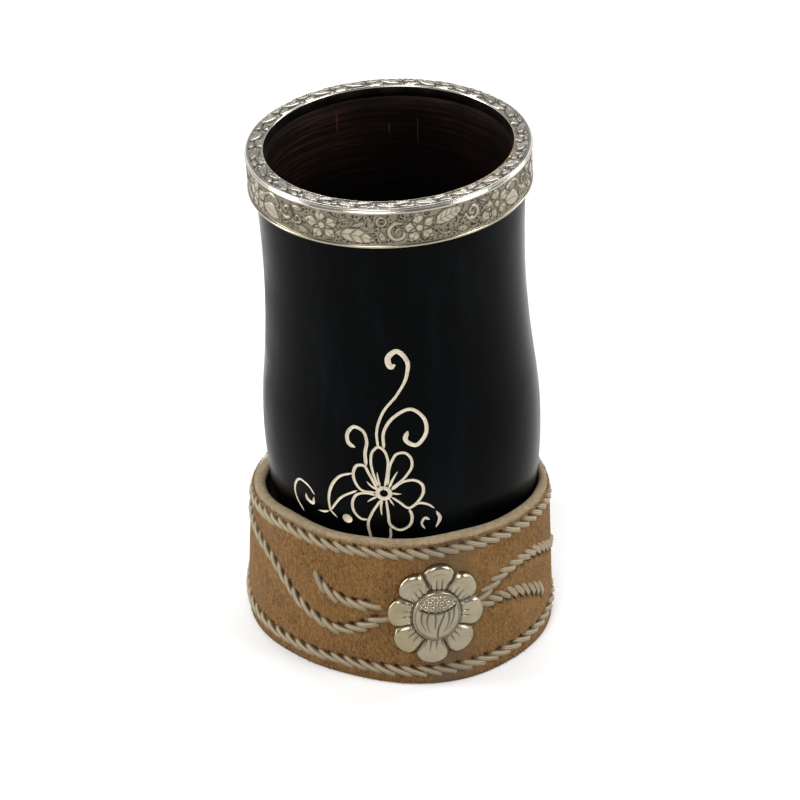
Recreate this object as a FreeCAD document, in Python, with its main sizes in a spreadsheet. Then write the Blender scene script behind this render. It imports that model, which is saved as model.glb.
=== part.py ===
"""Mate cup: a waisted horn tube with an engraved flower spray and a chased metal mouth rim,
standing in a laced hide band that carries a stamped flower concho.

Millimetres, +Z up. The origin is the middle of the flat foot. The concho faces -Y.
Azimuths are in degrees, 0 at the concho (-Y) and growing towards +X.
"""

import FreeCAD, Part
import Sketcher
import math
import os

from FreeCAD import Placement, Rotation, Vector

SIZES = [
    ("cup_height", 130.0, "top of the mouth rim above the foot, along the horn's axis"),
    ("cup_lean", 1.2, "degrees that the horn leans towards -X"),
    ("cup_shift", 1.1, "where the horn's axis meets the floor, along X"),
    ("rim_radius", 34.0, "outside of the mouth rim, over its border beads"),
    ("rim_depth", 10.0, "height of the rim's outer band"),
    ("rim_sheet", 0.6, "thickness of the rim's metal"),
    ("rim_bead", 0.35, "how far the border beads stand out of the band"),
    ("rim_bead_width", 1.0, "width of a border bead"),
    ("mouth_setback", 0.5, "how far the rim's opening stands back from the horn's bore"),
    ("collar_depth", 2.6, "how far the rim's collar reaches down inside the mouth"),
    ("horn_wall", 2.7, "thickness of the horn at its neck, outside a straight bore"),
    ("neck_hollow", 1.25, "how far the horn's neck is drawn in from its seat in the rim"),
    ("belly_swell", 3.2, "how far the belly swells out past the neck"),
    ("belly_height", 52.0, "height of the widest place"),
    ("belly_share", 0.35, "share of the side's double curve that swells, before it turns hollow"),
    ("neck_drop", 28.0, "how far the narrowest place lies below the top"),
    ("rim_gap", 0.6, "how far the horn stays clear of the rim's lower edge"),
    ("straight_height", 40.0, "below this height the horn runs straight down"),
    ("plug_thickness", 8.0, "wooden plug that closes the horn"),
    ("fit_gap", 0.1, "clearance of a pressed or glued fit"),
    ("hide_height", 41.5, "height of the hide band"),
    ("hide_thickness", 3.6, "thickness of the hide"),
    ("hide_flare", 2.1, "how much wider the hide band is at the foot than at its top"),
    ("hide_clearance", 1.2, "gap between the horn's belly and the top of the hide band"),
    ("hide_edge", 0.9, "how much the top edge of the hide is rounded off"),
    ("seam_azimuth", 4.7, "where the ends of the hide meet"),
    ("seam_gap", 0.4, "gap between the ends of the hide"),
    ("sole_thickness", 4.5, "thick hide disc that closes the band"),
    ("lace_width", 1.25, "width of the rawhide thong"),
    ("lace_height", 0.85, "how far a stitch stands off the hide"),
    ("lace_seat", 0.1, "clearance under the middle of a straight stitch"),
    ("stitch_length", 4.7, "length of a stitch that shows"),
    ("stitch_pitch", 3.9, "spacing of the stitches"),
    ("top_row_drop", 3.3, "middle of the upper row below the band's top edge"),
    ("foot_row_height", 4.2, "middle of the lower row above the foot"),
    ("concho_width", 24.0, "concho, across"),
    ("concho_row_gap", 3.0, "how far the concho stays from the middle of either row of stitches"),
    ("concho_tilt", 6.0, "degrees that the concho's top leans towards +X"),
    ("concho_sheet", 1.2, "thickness of the petals"),
    ("petal_radius", 4.5, "radius of a petal's round end"),
    ("bud_width", 12.0, "raised bud, across"),
    ("bud_length", 14.6, "raised bud, up and down"),
    ("bud_rise", 1.8, "how far the bud stands above the petals"),
    ("rivet_radius", 1.5, "stem of the concho's rivet"),
    ("rivet_head_radius", 3.5, "head of the rivet inside the band"),
    ("rivet_head_thickness", 0.8, "thickness of that head"),
]

doc = FreeCAD.newDocument("MateCup")
sheet = doc.addObject("Spreadsheet::Sheet", "Sizes")
for row, (alias, value, meaning) in enumerate(SIZES, start=1):
    sheet.set(f"A{row}", alias)
    sheet.set(f"B{row}", str(value))
    sheet.setAlias(f"B{row}", alias)
    sheet.set(f"C{row}", meaning)
doc.recompute()


def size(alias):
    return float(sheet.get(alias))


class Bound:
    """A length with its present value and the expression that ties it to the sheet."""

    def __init__(self, value, text):
        self.value = value
        self.text = text

    def __add__(self, other):
        return Bound(self.value + other.value, f"({self.text} + {other.text})")

    def __sub__(self, other):
        return Bound(self.value - other.value, f"({self.text} - {other.text})")

    def __mul__(self, other):
        return Bound(self.value * other.value, f"({self.text} * {other.text})")

    def __truediv__(self, other):
        return Bound(self.value / other.value, f"({self.text} / {other.text})")


def cell(alias):
    return Bound(size(alias), f"Sizes.{alias}")


def number(value):
    return Bound(value, str(value))


ZERO = number(0.0)

# Heights and radii that the pieces share, from the rim inwards and then out to the hide
horn_foot = cell("sole_thickness")
bead_inner = cell("rim_radius") - cell("rim_bead")
skirt_inner = bead_inner - cell("rim_sheet")
horn_seat = skirt_inner - cell("fit_gap")
horn_top = cell("cup_height") - cell("rim_sheet") - cell("fit_gap")
neck_radius = horn_seat - cell("neck_hollow")
neck_height = cell("cup_height") - cell("neck_drop")
belly_radius = neck_radius + cell("belly_swell")
bore_radius = neck_radius - cell("horn_wall")
mouth_radius = bore_radius + cell("mouth_setback")
collar_outer = mouth_radius + cell("rim_sheet")
collar_foot = cell("cup_height") - cell("collar_depth")
skirt_foot = cell("cup_height") - cell("rim_depth")
hide_top_radius = belly_radius + cell("hide_clearance") + cell("hide_thickness")
hide_foot_radius = hide_top_radius + cell("hide_flare")

# The horn's side: a straight foot, a swelling arc, a hollow arc to the neck and an arc out to the rim,
# each tangent to the next
side_rise = neck_height - cell("belly_height")
side_curves = (side_rise * side_rise / cell("belly_swell") + cell("belly_swell")) / number(2)
belly_curve = side_curves * cell("belly_share")
neck_curve = side_curves - belly_curve
rim_reach = horn_seat - cell("rim_gap")
rim_rise = skirt_foot - neck_height
rim_curve = (rim_rise * rim_rise / (rim_reach - neck_radius) + (rim_reach - neck_radius)) / number(2)
join_angle = math.degrees(math.asin(side_rise.value / side_curves.value))
foot_angle = math.degrees(math.asin((size("belly_height") - size("straight_height")) / belly_curve.value))
rim_angle = math.degrees(math.asin(rim_rise.value / rim_curve.value))


def origin_plane(body, role):
    for feature in body.Origin.OriginFeatures:
        if feature.Role == role:
            return feature
    raise RuntimeError(f"{body.Name} has no {role}")


def new_body(name):
    return doc.addObject("PartDesign::Body", name)


def new_sketch(body, name, role):
    sketch = body.newObject("Sketcher::SketchObject", name)
    sketch.AttachmentSupport = [(origin_plane(body, role), "")]
    sketch.MapMode = "FlatFace"
    return sketch


def lean_with_horn(sketch):
    """Turns an upright section so that its vertical axis becomes the horn's leaning axis."""
    sketch.AttachmentOffset = Placement(Vector(size("cup_shift"), 0, 0), Rotation(Vector(0, 0, 1), size("cup_lean")))
    sketch.setExpression("AttachmentOffset.Base.x", "Sizes.cup_shift")
    sketch.setExpression("AttachmentOffset.Rotation.Angle", "Sizes.cup_lean")


def bind(sketch, kind, references, length):
    """Adds a measured constraint that follows the sheet."""
    index = sketch.addConstraint(Sketcher.Constraint(kind, *references, length.value))
    sketch.setExpression(f"Constraints[{index}]", length.text)


def place_point(sketch, geometry, end, across, up):
    """Holds one point of a sketch at a distance across and up from the sketch's origin."""
    if across is ZERO:
        sketch.addConstraint(Sketcher.Constraint("PointOnObject", geometry, end, -2))
    elif across is not None:
        bind(sketch, "DistanceX", (-1, 1, geometry, end), across)
    if up is ZERO:
        sketch.addConstraint(Sketcher.Constraint("PointOnObject", geometry, end, -1))
    elif up is not None:
        bind(sketch, "DistanceY", (-1, 1, geometry, end), up)


def closed_section(sketch, corners):
    """Draws a closed outline of straight lines through corners given as bound pairs."""
    points = [Vector(across.value, up.value, 0) for across, up in corners]
    first = sketch.GeometryCount
    for start, end in zip(points, points[1:] + points[:1]):
        sketch.addGeometry(Part.LineSegment(start, end), False)
    count = len(points)
    for step in range(count):
        following = first + (step + 1) % count
        sketch.addConstraint(Sketcher.Constraint("Coincident", first + step, 2, following, 1))
    for step, (across, up) in enumerate(corners):
        place_point(sketch, first + step, 1, across, up)


def turn(body, sketch, name, kind="PartDesign::Revolution"):
    feature = body.newObject(kind, name)
    feature.Profile = sketch
    feature.ReferenceAxis = (sketch, ["V_Axis"])
    feature.Angle = 360.0
    return feature


def level_foot(body, name):
    """Cuts a leaning piece level where it stands on the sole."""
    sketch = new_sketch(body, f"{name}_foot_sketch", "XY_Plane")
    sketch.AttachmentOffset = Placement(Vector(0, 0, size("sole_thickness")), Rotation())
    sketch.setExpression("AttachmentOffset.Base.z", "Sizes.sole_thickness")
    sketch.addGeometry(Part.Circle(Vector(0, 0, 0), Vector(0, 0, 1), hide_foot_radius.value), False)
    sketch.addConstraint(Sketcher.Constraint("Coincident", 0, 3, -1, 1))
    bind(sketch, "Radius", (0,), hide_foot_radius)
    pocket = body.newObject("PartDesign::Pocket", f"{name}_level_foot")
    pocket.Profile = sketch
    pocket.Type = "ThroughAll"
    return pocket


# Horn: one wall turned about the leaning axis, bored straight, then cut level at its foot
def horn_section(body):
    sketch = new_sketch(body, "horn_section", "XZ_Plane")
    lean_with_horn(sketch)
    below = horn_foot - number(3)
    turn_in = skirt_foot + cell("rim_bead_width")
    rebate = collar_foot - cell("fit_gap")
    rebate_radius = collar_outer + cell("fit_gap")

    def arc(centre_x, centre_z, radius, start, end):
        circle = Part.Circle(Vector(centre_x, centre_z, 0), Vector(0, 0, 1), radius.value)
        return Part.ArcOfCircle(circle, math.radians(start), math.radians(end))

    belly_centre = belly_radius.value - belly_curve.value
    neck_centre = neck_radius.value + neck_curve.value
    rim_centre = neck_radius.value + rim_curve.value
    belly_arc = arc(belly_centre, size("belly_height"), belly_curve, -foot_angle, join_angle)
    neck_arc = arc(neck_centre, neck_height.value, neck_curve, 180, 180 + join_angle)
    rim_arc = arc(rim_centre, neck_height.value, rim_curve, 180 - rim_angle, 180)
    corners = [
        (horn_seat, turn_in),
        (horn_seat, horn_top),
        (rebate_radius, horn_top),
        (rebate_radius, rebate),
        (bore_radius, rebate),
        (bore_radius, below),
    ]
    foot_corner = Vector(belly_arc.StartPoint.x, below.value, 0)
    points = [rim_arc.StartPoint] + [Vector(across.value, up.value, 0) for across, up in corners] + [foot_corner]

    for piece in (Part.LineSegment(foot_corner, belly_arc.StartPoint), belly_arc, neck_arc, rim_arc):
        sketch.addGeometry(piece, False)
    foot_side, belly, neck, rim, first_line = range(5)
    for start, end in zip(points, points[1:]):
        sketch.addGeometry(Part.LineSegment(start, end), False)
    last_line = first_line + len(points) - 2

    sketch.addConstraint(Sketcher.Constraint("Coincident", foot_side, 2, belly, 1))
    sketch.addConstraint(Sketcher.Constraint("Tangent", belly, 2, neck, 2))
    sketch.addConstraint(Sketcher.Constraint("Tangent", neck, 1, rim, 2))
    sketch.addConstraint(Sketcher.Constraint("Coincident", rim, 1, first_line, 1))
    for line in range(first_line, last_line):
        sketch.addConstraint(Sketcher.Constraint("Coincident", line, 2, line + 1, 1))
    sketch.addConstraint(Sketcher.Constraint("Coincident", last_line, 2, foot_side, 1))
    sketch.addConstraint(Sketcher.Constraint("Vertical", foot_side))

    bind(sketch, "Radius", (belly,), belly_curve)
    bind(sketch, "DistanceX", (belly, 3, -1, 1), belly_curve - belly_radius)
    bind(sketch, "DistanceY", (-1, 1, belly, 3), cell("belly_height"))
    bind(sketch, "Radius", (neck,), neck_curve)
    place_point(sketch, neck, 3, None, neck_height)
    bind(sketch, "Radius", (rim,), rim_curve)
    place_point(sketch, rim, 3, None, neck_height)
    place_point(sketch, rim, 1, None, skirt_foot)
    place_point(sketch, belly, 1, None, cell("straight_height"))
    place_point(sketch, foot_side, 1, None, below)
    for line, (across, up) in enumerate(corners, start=first_line):
        place_point(sketch, line, 2, across, up)
    return sketch


def make_horn():
    body = new_body("horn_wall")
    sketch = horn_section(body)
    turn(body, sketch, "horn_turned")
    level_foot(body, "horn")
    return body


# Wooden plug glued into the bore
def make_plug():
    body = new_body("bottom_plug")
    sketch = new_sketch(body, "plug_section", "XZ_Plane")
    lean_with_horn(sketch)
    low = horn_foot - number(3)
    high = horn_foot + cell("plug_thickness")
    radius = bore_radius - cell("fit_gap")
    closed_section(sketch, [(ZERO, low), (radius, low), (radius, high), (ZERO, high)])
    turn(body, sketch, "plug_turned")
    level_foot(body, "plug")
    return body


# Mouth rim: a channel of sheet metal that caps the horn, with a bead along both borders
def make_rim():
    body = new_body("mouth_rim")
    sketch = new_sketch(body, "rim_section", "XZ_Plane")
    lean_with_horn(sketch)
    ease = cell("rim_bead")
    top = cell("cup_height")
    outer = cell("rim_radius")
    low_bead = skirt_foot + cell("rim_bead_width")
    high_bead = top - ease - ease - cell("rim_bead_width")
    inside_top = top - cell("rim_sheet")
    closed_section(
        sketch,
        [
            (skirt_inner, skirt_foot),
            (outer, skirt_foot),
            (outer, low_bead),
            (bead_inner, low_bead),
            (bead_inner, high_bead),
            (outer, high_bead),
            (outer, top - ease - ease),
            (outer - ease - ease, top),
            (mouth_radius + ease, top),
            (mouth_radius, top - ease),
            (mouth_radius, collar_foot),
            (collar_outer, collar_foot),
            (collar_outer, inside_top),
            (skirt_inner, inside_top),
        ],
    )
    turn(body, sketch, "rim_turned")
    return body


# Hide band: a strip bent round until its ends meet, wider at the foot
def hide_radius(height):
    """Outside of the hide band at a height."""
    share = height / size("hide_height")
    return hide_foot_radius.value + (hide_top_radius.value - hide_foot_radius.value) * share


def around(azimuth, radius, height):
    angle = math.radians(azimuth)
    return Vector(radius * math.sin(angle), -radius * math.cos(angle), height)


def hide_frame(azimuth, height):
    """A point on the outside of the hide with the ways along, up and out of it."""
    here = around(azimuth, hide_radius(height), height)
    foot = around(azimuth, hide_radius(0), 0)
    along = around(azimuth + 90, 1, 0)
    up = (around(azimuth, hide_radius(size("hide_height")), size("hide_height")) - foot).normalize()
    return here, along, up, along.cross(up).normalize()


def make_hide_blank():
    body = new_body("hide_blank")
    sketch = new_sketch(body, "hide_section", "XZ_Plane")
    sketch.AttachmentOffset = Placement(Vector(0, 0, 0), Rotation(Vector(0, 1, 0), size("seam_azimuth") - 90))
    sketch.setExpression("AttachmentOffset.Rotation.Angle", "Sizes.seam_azimuth - 90")
    height = cell("hide_height")
    edge = cell("hide_edge")
    shoulder = height - edge
    shoulder_outer = hide_top_radius + cell("hide_flare") * edge / height
    thickness = cell("hide_thickness")
    closed_section(
        sketch,
        [
            (hide_foot_radius - thickness, ZERO),
            (hide_foot_radius, ZERO),
            (shoulder_outer, shoulder),
            (hide_top_radius - edge, height),
            (hide_top_radius - thickness + edge, height),
            (shoulder_outer - thickness, shoulder),
        ],
    )
    strip = turn(body, sketch, "hide_bent_round")
    strip.setExpression("Angle", f"360 - Sizes.seam_gap / {hide_top_radius.text} * 180 / pi")
    return body


def make_hide_band():
    hole = doc.addObject("Part::Cylinder", "rivet_hole")
    hole.setExpression("Radius", "Sizes.rivet_radius + Sizes.fit_gap")
    hole.setExpression("Height", "4 * Sizes.hide_thickness")
    across = Placement(Vector(0, 0, 0), Rotation(Vector(1, 0, 0), -90))
    hole.Placement = concho_placement(2 * size("hide_thickness")).multiply(across)
    band = doc.addObject("Part::Cut", "hide_band")
    band.Base = make_hide_blank()
    band.Tool = hole
    return band


# Sole: a thick disc of hide inside the band, flared like the band
def make_sole():
    sole = doc.addObject("Part::Cone", "leather_sole")
    widest = hide_foot_radius - cell("hide_thickness") - cell("fit_gap")
    narrowest = widest - cell("hide_flare") * cell("sole_thickness") / cell("hide_height")
    sole.setExpression("Radius1", widest.text)
    sole.setExpression("Radius2", narrowest.text)
    sole.setExpression("Height", "Sizes.sole_thickness")
    return sole


# Laces: flat rawhide thong, whose stitches show as slanting bars with tapered ends
def stitch_shape(length):
    """A stitch along X, standing up along Y, its sides and ends sloping in like a hipped roof."""
    width = size("lace_width")
    height = size("lace_height")
    slope = width * 0.22
    half_length = length / 2
    half_width = width / 2
    low = (-half_length, 0, -half_width, -half_width + slope, -half_length + 2 * slope)
    high = (half_length, height, half_width, half_width - slope, half_length - 2 * slope)
    return Part.makeWedge(*low, *high)


def lay_stitch(stitch, azimuth, height, direction):
    """A stitch laid on the hide, turned in the surface by degrees from the way round."""
    here, along, up, out = hide_frame(azimuth, height)
    angle = math.radians(direction)
    length_way = along * math.cos(angle) + up * math.sin(angle)
    width_way = length_way.cross(out)
    spot = here + out * size("lace_seat")
    matrix = FreeCAD.Matrix(
        length_way.x, out.x, width_way.x, spot.x,
        length_way.y, out.y, width_way.y, spot.y,
        length_way.z, out.z, width_way.z, spot.z,
        0, 0, 0, 1,
    )
    laid = stitch.copy()
    laid.Placement = Placement(matrix)
    return laid


def make_lace(name, stitches):
    lace = doc.addObject("Part::Feature", name)
    lace.Shape = Part.makeCompound(stitches)
    return lace


ROW_SLANT = -24.0


def make_row(name, height):
    """A row of stitches right round the band."""
    stitch = stitch_shape(size("stitch_length"))
    radius = hide_radius(height)
    count = round(2 * math.pi * radius / size("stitch_pitch"))
    stitches = []
    for step in range(count):
        azimuth = size("seam_azimuth") + 360 * (step + 0.5) / count
        stitches.append(lay_stitch(stitch, azimuth, height, ROW_SLANT))
    return make_lace(name, stitches)


def make_vine(name, route, slant, length, pitch):
    """Stitches at even steps along a curve drawn on the hide as azimuths and shares of its height."""
    around_hide = math.radians(1) * hide_foot_radius.value
    rise = size("hide_height")
    curve = Part.BSplineCurve()
    curve.interpolate([Vector(azimuth * around_hide, share * rise, 0) for azimuth, share in route])
    stitch = stitch_shape(length)
    count = int(curve.length() / pitch)
    stitches = []
    for step in range(count):
        parameter = curve.parameterAtDistance(pitch * (step + 0.5), curve.FirstParameter)
        spot = curve.value(parameter)
        way = curve.tangent(parameter)[0]
        direction = math.degrees(math.atan2(way.y, way.x)) + slant
        stitches.append(lay_stitch(stitch, spot.x / around_hide, spot.y, direction))
    return make_lace(name, stitches)


LONG_VINE = [(-97, 0.687), (-84, 0.684), (-72, 0.651), (-63, 0.593), (-56, 0.506), (-50, 0.429),
             (-43, 0.371), (-35, 0.342), (-27, 0.381), (-20.5, 0.448)]
SHORT_VINE = [(-43.5, 0.665), (-39, 0.600), (-33, 0.561), (-27, 0.547), (-20, 0.564)]
UPPER_BRANCH = [(19.5, 0.578), (24.5, 0.631), (30, 0.665), (37, 0.680), (45, 0.660), (53, 0.617),
                (62, 0.578)]
LOWER_BRANCH = [(21.5, 0.496), (26, 0.496), (32, 0.472), (39, 0.424), (46, 0.347)]


def make_laces():
    top_height = size("hide_height") - size("top_row_drop")
    length = size("stitch_length")
    pitch = size("stitch_pitch")
    short = length * 0.72
    return [
        make_row("top_edge_lace", top_height),
        make_row("bottom_edge_lace", size("foot_row_height")),
        make_vine("long_vine_lace", LONG_VINE, -20.0, length, pitch),
        make_vine("short_vine_lace", SHORT_VINE, -20.0, length, pitch),
        make_vine("upper_branch_lace", UPPER_BRANCH, -30.0, length, pitch),
        make_vine("lower_branch_lace", LOWER_BRANCH, -42.0, short, pitch * 0.66),
    ]


# Concho: stamped flower, made facing -Y with its back at the origin, then set on the hide
PETALS = 8
EYE_DEPTH = 0.35
concho_field = size("hide_height") - size("top_row_drop") - size("foot_row_height")
CONCHO_LENGTH = concho_field - 2 * size("concho_row_gap")
CONCHO_HEIGHT = size("foot_row_height") + concho_field / 2


def concho_placement(outward):
    here, _, _, out = hide_frame(0, CONCHO_HEIGHT)
    flare = math.degrees(math.atan2(out.z, -out.y))
    return Placement(here + out * outward, Rotation(Vector(1, 0, 0), -flare))


def oval(half_width, half_length, distance):
    centre = Vector(0, -distance, 0)
    top = Vector(0, -distance, half_length)
    side = Vector(half_width, -distance, 0)
    if half_length < half_width:
        top, side = side, top
    return Part.Wire(Part.Ellipse(top, side, centre).toShape())


def make_concho():
    sheet_thickness = size("concho_sheet")
    back = hide_radius(CONCHO_HEIGHT - CONCHO_LENGTH) + size("fit_gap")
    petal = size("petal_radius")
    across = size("concho_width") / 2 - petal
    up = CONCHO_LENGTH / 2 - petal
    half_bud_width = size("bud_width") / 2
    half_bud_length = size("bud_length") / 2
    depth = sheet_thickness * 4

    petals = []
    for step in range(PETALS):
        angle = 2 * math.pi * step / PETALS
        centre = Vector(across * math.sin(angle), depth / 2, up * math.cos(angle))
        petals.append(Part.makeCylinder(petal, depth, centre, Vector(0, -1, 0)))
    middle = Part.Face(oval(across, up, -depth / 2)).extrude(Vector(0, -depth, 0))
    tilt = Rotation(Vector(0, 1, 0), size("concho_tilt"))
    flower = middle.fuse(petals)
    flower.Placement = Placement(Vector(0, 0, 0), tilt)
    axis_foot = Vector(0, back, -CONCHO_LENGTH)
    axis_way = Vector(0, 0, 1)
    tall = 2 * CONCHO_LENGTH
    front = Part.makeCylinder(back + sheet_thickness, tall, axis_foot, axis_way)
    hollow = Part.makeCylinder(back, tall, axis_foot, axis_way)
    plate = flower.common(front.cut(hollow))

    rise = sheet_thickness + size("bud_rise")
    dome_radius = half_bud_length * 2
    bud = Part.Face(oval(half_bud_width, half_bud_length, 0)).extrude(Vector(0, -depth, 0))
    bud = bud.common(Part.makeSphere(dome_radius, Vector(0, dome_radius - rise, 0)))
    eye_radius = half_bud_width * 1.1
    eye_height = half_bud_length * 0.36
    eye_way = Vector(0, -1, 0)
    floor = Vector(0, -(rise - 2 * EYE_DEPTH), eye_height)
    sink = eye_radius * 0.72
    upper = Part.makeCylinder(eye_radius, depth, floor - Vector(0, 0, sink), eye_way)
    lower = Part.makeCylinder(eye_radius, depth, floor + Vector(0, 0, sink), eye_way)
    bud = bud.cut(upper.common(lower))
    bud.Placement = Placement(Vector(0, 0, 0), tilt)
    shape = plate.fuse(bud.cut(hollow)).removeSplitter()

    concho = doc.addObject("Part::Feature", "flower_concho")
    concho.Shape = shape
    concho.Placement = concho_placement(size("lace_seat"))
    return concho


# Rivet: its stem passes through the hide behind the concho and its head lies flat inside
def make_rivet():
    body = new_body("concho_rivet")
    sketch = new_sketch(body, "rivet_section", "XY_Plane")
    stem = cell("rivet_radius")
    head = cell("rivet_head_radius")
    start = cell("fit_gap")
    bend = head * head / (hide_top_radius - cell("hide_thickness"))
    under_head = cell("lace_seat") + cell("hide_thickness") + bend
    end = under_head + cell("rivet_head_thickness")
    corners = [(ZERO, start), (stem, start), (stem, under_head), (head, under_head), (head, end), (ZERO, end)]
    closed_section(sketch, corners)
    turn(body, sketch, "rivet_turned")
    body.Placement = concho_placement(size("lace_seat"))
    return body


def check(objects):
    """Stops if anything in the document failed or a piece is not one sound shape."""
    for thing in doc.Objects:
        failed = [state for state in thing.State if state in ("Invalid", "Error")]
        if failed:
            raise RuntimeError(f"{thing.Name} is {failed}")
    for thing in objects:
        shape = thing.Shape
        if shape.isNull() or not shape.isValid() or not shape.Solids:
            raise RuntimeError(f"{thing.Name} has no sound shape")
        if shape.Volume <= 0:
            raise RuntimeError(f"{thing.Name} is inside out")


def main():
    pieces = [make_horn(), make_plug(), make_rim(), make_hide_band(), make_sole()]
    pieces += make_laces()
    pieces += [make_concho(), make_rivet()]
    for piece in pieces:
        piece.Label = piece.Name
    doc.recompute()
    check(pieces)
    os.makedirs("parts", exist_ok=True)
    for piece in pieces:
        piece.Shape.exportStep(f"parts/{piece.Label}.step")
        print(piece.Label, len(piece.Shape.Solids), round(piece.Shape.Volume, 1))


main()
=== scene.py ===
import bpy
import math
import numpy as np
from mathutils import Matrix, Vector


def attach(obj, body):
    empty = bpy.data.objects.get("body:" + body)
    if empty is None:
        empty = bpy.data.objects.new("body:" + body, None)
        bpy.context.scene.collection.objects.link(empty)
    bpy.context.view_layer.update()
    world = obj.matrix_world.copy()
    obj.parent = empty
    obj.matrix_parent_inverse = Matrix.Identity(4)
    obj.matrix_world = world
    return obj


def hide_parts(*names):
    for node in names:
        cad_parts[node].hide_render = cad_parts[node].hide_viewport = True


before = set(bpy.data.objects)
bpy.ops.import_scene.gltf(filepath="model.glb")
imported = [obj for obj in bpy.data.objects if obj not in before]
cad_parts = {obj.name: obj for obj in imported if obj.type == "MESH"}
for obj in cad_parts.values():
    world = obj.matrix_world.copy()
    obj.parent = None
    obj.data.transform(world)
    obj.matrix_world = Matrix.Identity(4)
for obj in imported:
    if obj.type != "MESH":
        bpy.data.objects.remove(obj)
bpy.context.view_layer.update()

bl_info = {
    "name": "Horn mate cup",
    "version": (1, 0, 0),
    "blender": (4, 5, 0),
    "location": "View3D > Sidebar > Mate Cup",
    "description": "A horn mate cup with a chased rim, an engraved flower spray and a laced hide band",
    "category": "Mesh",
}

MM = 0.001


# Settings


def length(name, value, text):
    return bpy.props.FloatProperty(
        name=name, description=text, default=value * MM, unit="LENGTH", precision=5
    )


def degrees(name, value, text):
    return bpy.props.FloatProperty(name=name, description=text, default=math.radians(value), unit="ROTATION")


def colour(name, value, text):
    return bpy.props.FloatVectorProperty(
        name=name, description=text, default=value, subtype="COLOR", size=3, min=0.0, max=1.0
    )


class HornSettings(bpy.types.PropertyGroup):
    top: length("Top", 129.3, "Height of the horn's top under the rim")
    foot: length("Foot", 4.5, "Height at which the horn stands on the sole")
    straight: length("Straight foot", 26.0, "Below this height the horn runs straight down")
    belly_radius: length("Belly radius", 34.9, "Outside of the horn at its widest")
    belly_height: length("Belly height", 52.0, "Height of the widest place")
    belly_curve: length("Belly curve", 137.27, "Radius of the swelling part of the side")
    neck_radius: length("Neck radius", 31.7, "Outside of the horn at its narrowest")
    neck_height: length("Neck height", 102.0, "Height of the narrowest place")
    neck_curve: length("Neck curve", 254.93, "Radius of the hollow part of the side")
    rim_curve: length("Flare curve", 270.3, "Radius of the side from the neck up to the rim")
    bore: length("Bore radius", 29.0, "Inside of the horn")
    lean: degrees("Lean", 1.2, "Lean of the horn towards -X")
    shift: length("Shift", 1.1, "Where the horn's axis meets the floor")
    flower_azimuth: degrees("Flower azimuth", -17.8, "Where the engraved flower sits")
    flower_height: length("Flower height", 53.0, "Height of the engraved flower's centre")
    black: colour("Horn", (0.0006, 0.0009, 0.0012), "Polished black of the horn")
    inside: colour("Horn inside", (0.0085, 0.0048, 0.0035), "Dark brown of the bore")
    cream: colour("Engraving", (0.73, 0.66, 0.51), "Pale ground laid open by the engraver")


class RimSettings(bpy.types.PropertyGroup):
    top: length("Top", 130.0, "Top of the rim")
    foot: length("Foot", 120.0, "Lower edge of the rim's band")
    radius: length("Radius", 34.0, "Outside of the rim over its beads")
    mouth: length("Mouth radius", 29.5, "Opening of the rim")
    collar_foot: length("Collar foot", 127.4, "Lower edge of the collar inside the mouth")
    sheet: length("Sheet", 0.6, "Thickness of the metal")
    relief: length("Relief", 0.3, "Height of the chased pattern")
    # One nickel silver: the band's metal, and the top's brighter metal, which is a painted highlight
    metal: colour("Rim metal", (0.385, 0.342, 0.262), "Nickel silver of the worn band")
    bright: colour("Polished metal", (0.47, 0.445, 0.39), "Nickel silver of the polished top")
    patina: colour("Rim patina", (0.026, 0.02, 0.013), "Dark patina in the hollows")


class HideSettings(bpy.types.PropertyGroup):
    height: length("Height", 41.5, "Height of the hide band")
    thickness: length("Thickness", 3.3, "Thickness of the hide")
    foot_radius: length("Foot radius", 41.8, "Outside of the band at the foot")
    top_radius: length("Top radius", 39.7, "Outside of the band at its top")
    seam: degrees("Seam azimuth", 4.7, "Where the ends of the hide meet")
    coat: colour("Hair", (0.182, 0.094, 0.030), "Short camel hair")
    cut: colour("Cut edge", (0.37, 0.285, 0.175), "Pale cut edge along the top")
    stain: colour("Stain", (0.12, 0.08, 0.045), "Greyish brown round the seam")


class LaceSettings(bpy.types.PropertyGroup):
    width: length("Width", 1.5, "Width of the thong")
    height: length("Height", 0.95, "How far a stitch stands off the hide")
    stitch: length("Stitch", 7.2, "Length of a stitch that shows")
    pitch: length("Pitch", 3.75, "Spacing of the stitches")
    top_row: length("Upper row", 38.2, "Height of the upper row")
    foot_row: length("Lower row", 4.2, "Height of the lower row")
    rawhide: colour("Rawhide", (0.325, 0.26, 0.165), "Pale dry rawhide")


class ConchoSettings(bpy.types.PropertyGroup):
    height: length("Height", 21.2, "Height of the concho's middle")
    width: length("Width", 24.0, "Across")
    length_up: length("Length", 28.0, "Up and down")
    petal: length("Petal radius", 4.5, "Radius of a petal's round end")
    sheet: length("Sheet", 1.2, "Thickness at the petals' edges")
    bud_width: length("Bud width", 11.8, "Raised bud, across")
    bud_length: length("Bud length", 13.8, "Raised bud, up and down")
    bud_rise: length("Bud rise", 1.6, "How far the bud stands above the petals")
    tilt: degrees("Tilt", 6.0, "Lean of the concho's top towards +X")
    metal: colour("Concho metal", (0.33, 0.288, 0.207), "Satin nickel silver")
    tarnish: colour("Tarnish", (0.30, 0.245, 0.12), "Yellowish tarnish")


class StageSettings(bpy.types.PropertyGroup):
    distance: bpy.props.FloatProperty(
        name="Distance", description="From the camera to the middle of the cup", default=0.6042, unit="LENGTH"
    )
    lens: bpy.props.FloatProperty(name="Lens", description="Focal length in millimetres", default=108.0)
    azimuth: degrees("Azimuth", -9.7, "Side from which the camera looks")
    elevation: degrees("Elevation", 33.0, "How far the camera looks down")
    roll: degrees("Roll", -1.5, "Roll of the camera")


# Shared shapes, worked out in millimetres


def mm(value):
    """A length in metres as millimetres."""
    return value * 1000.0


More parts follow.
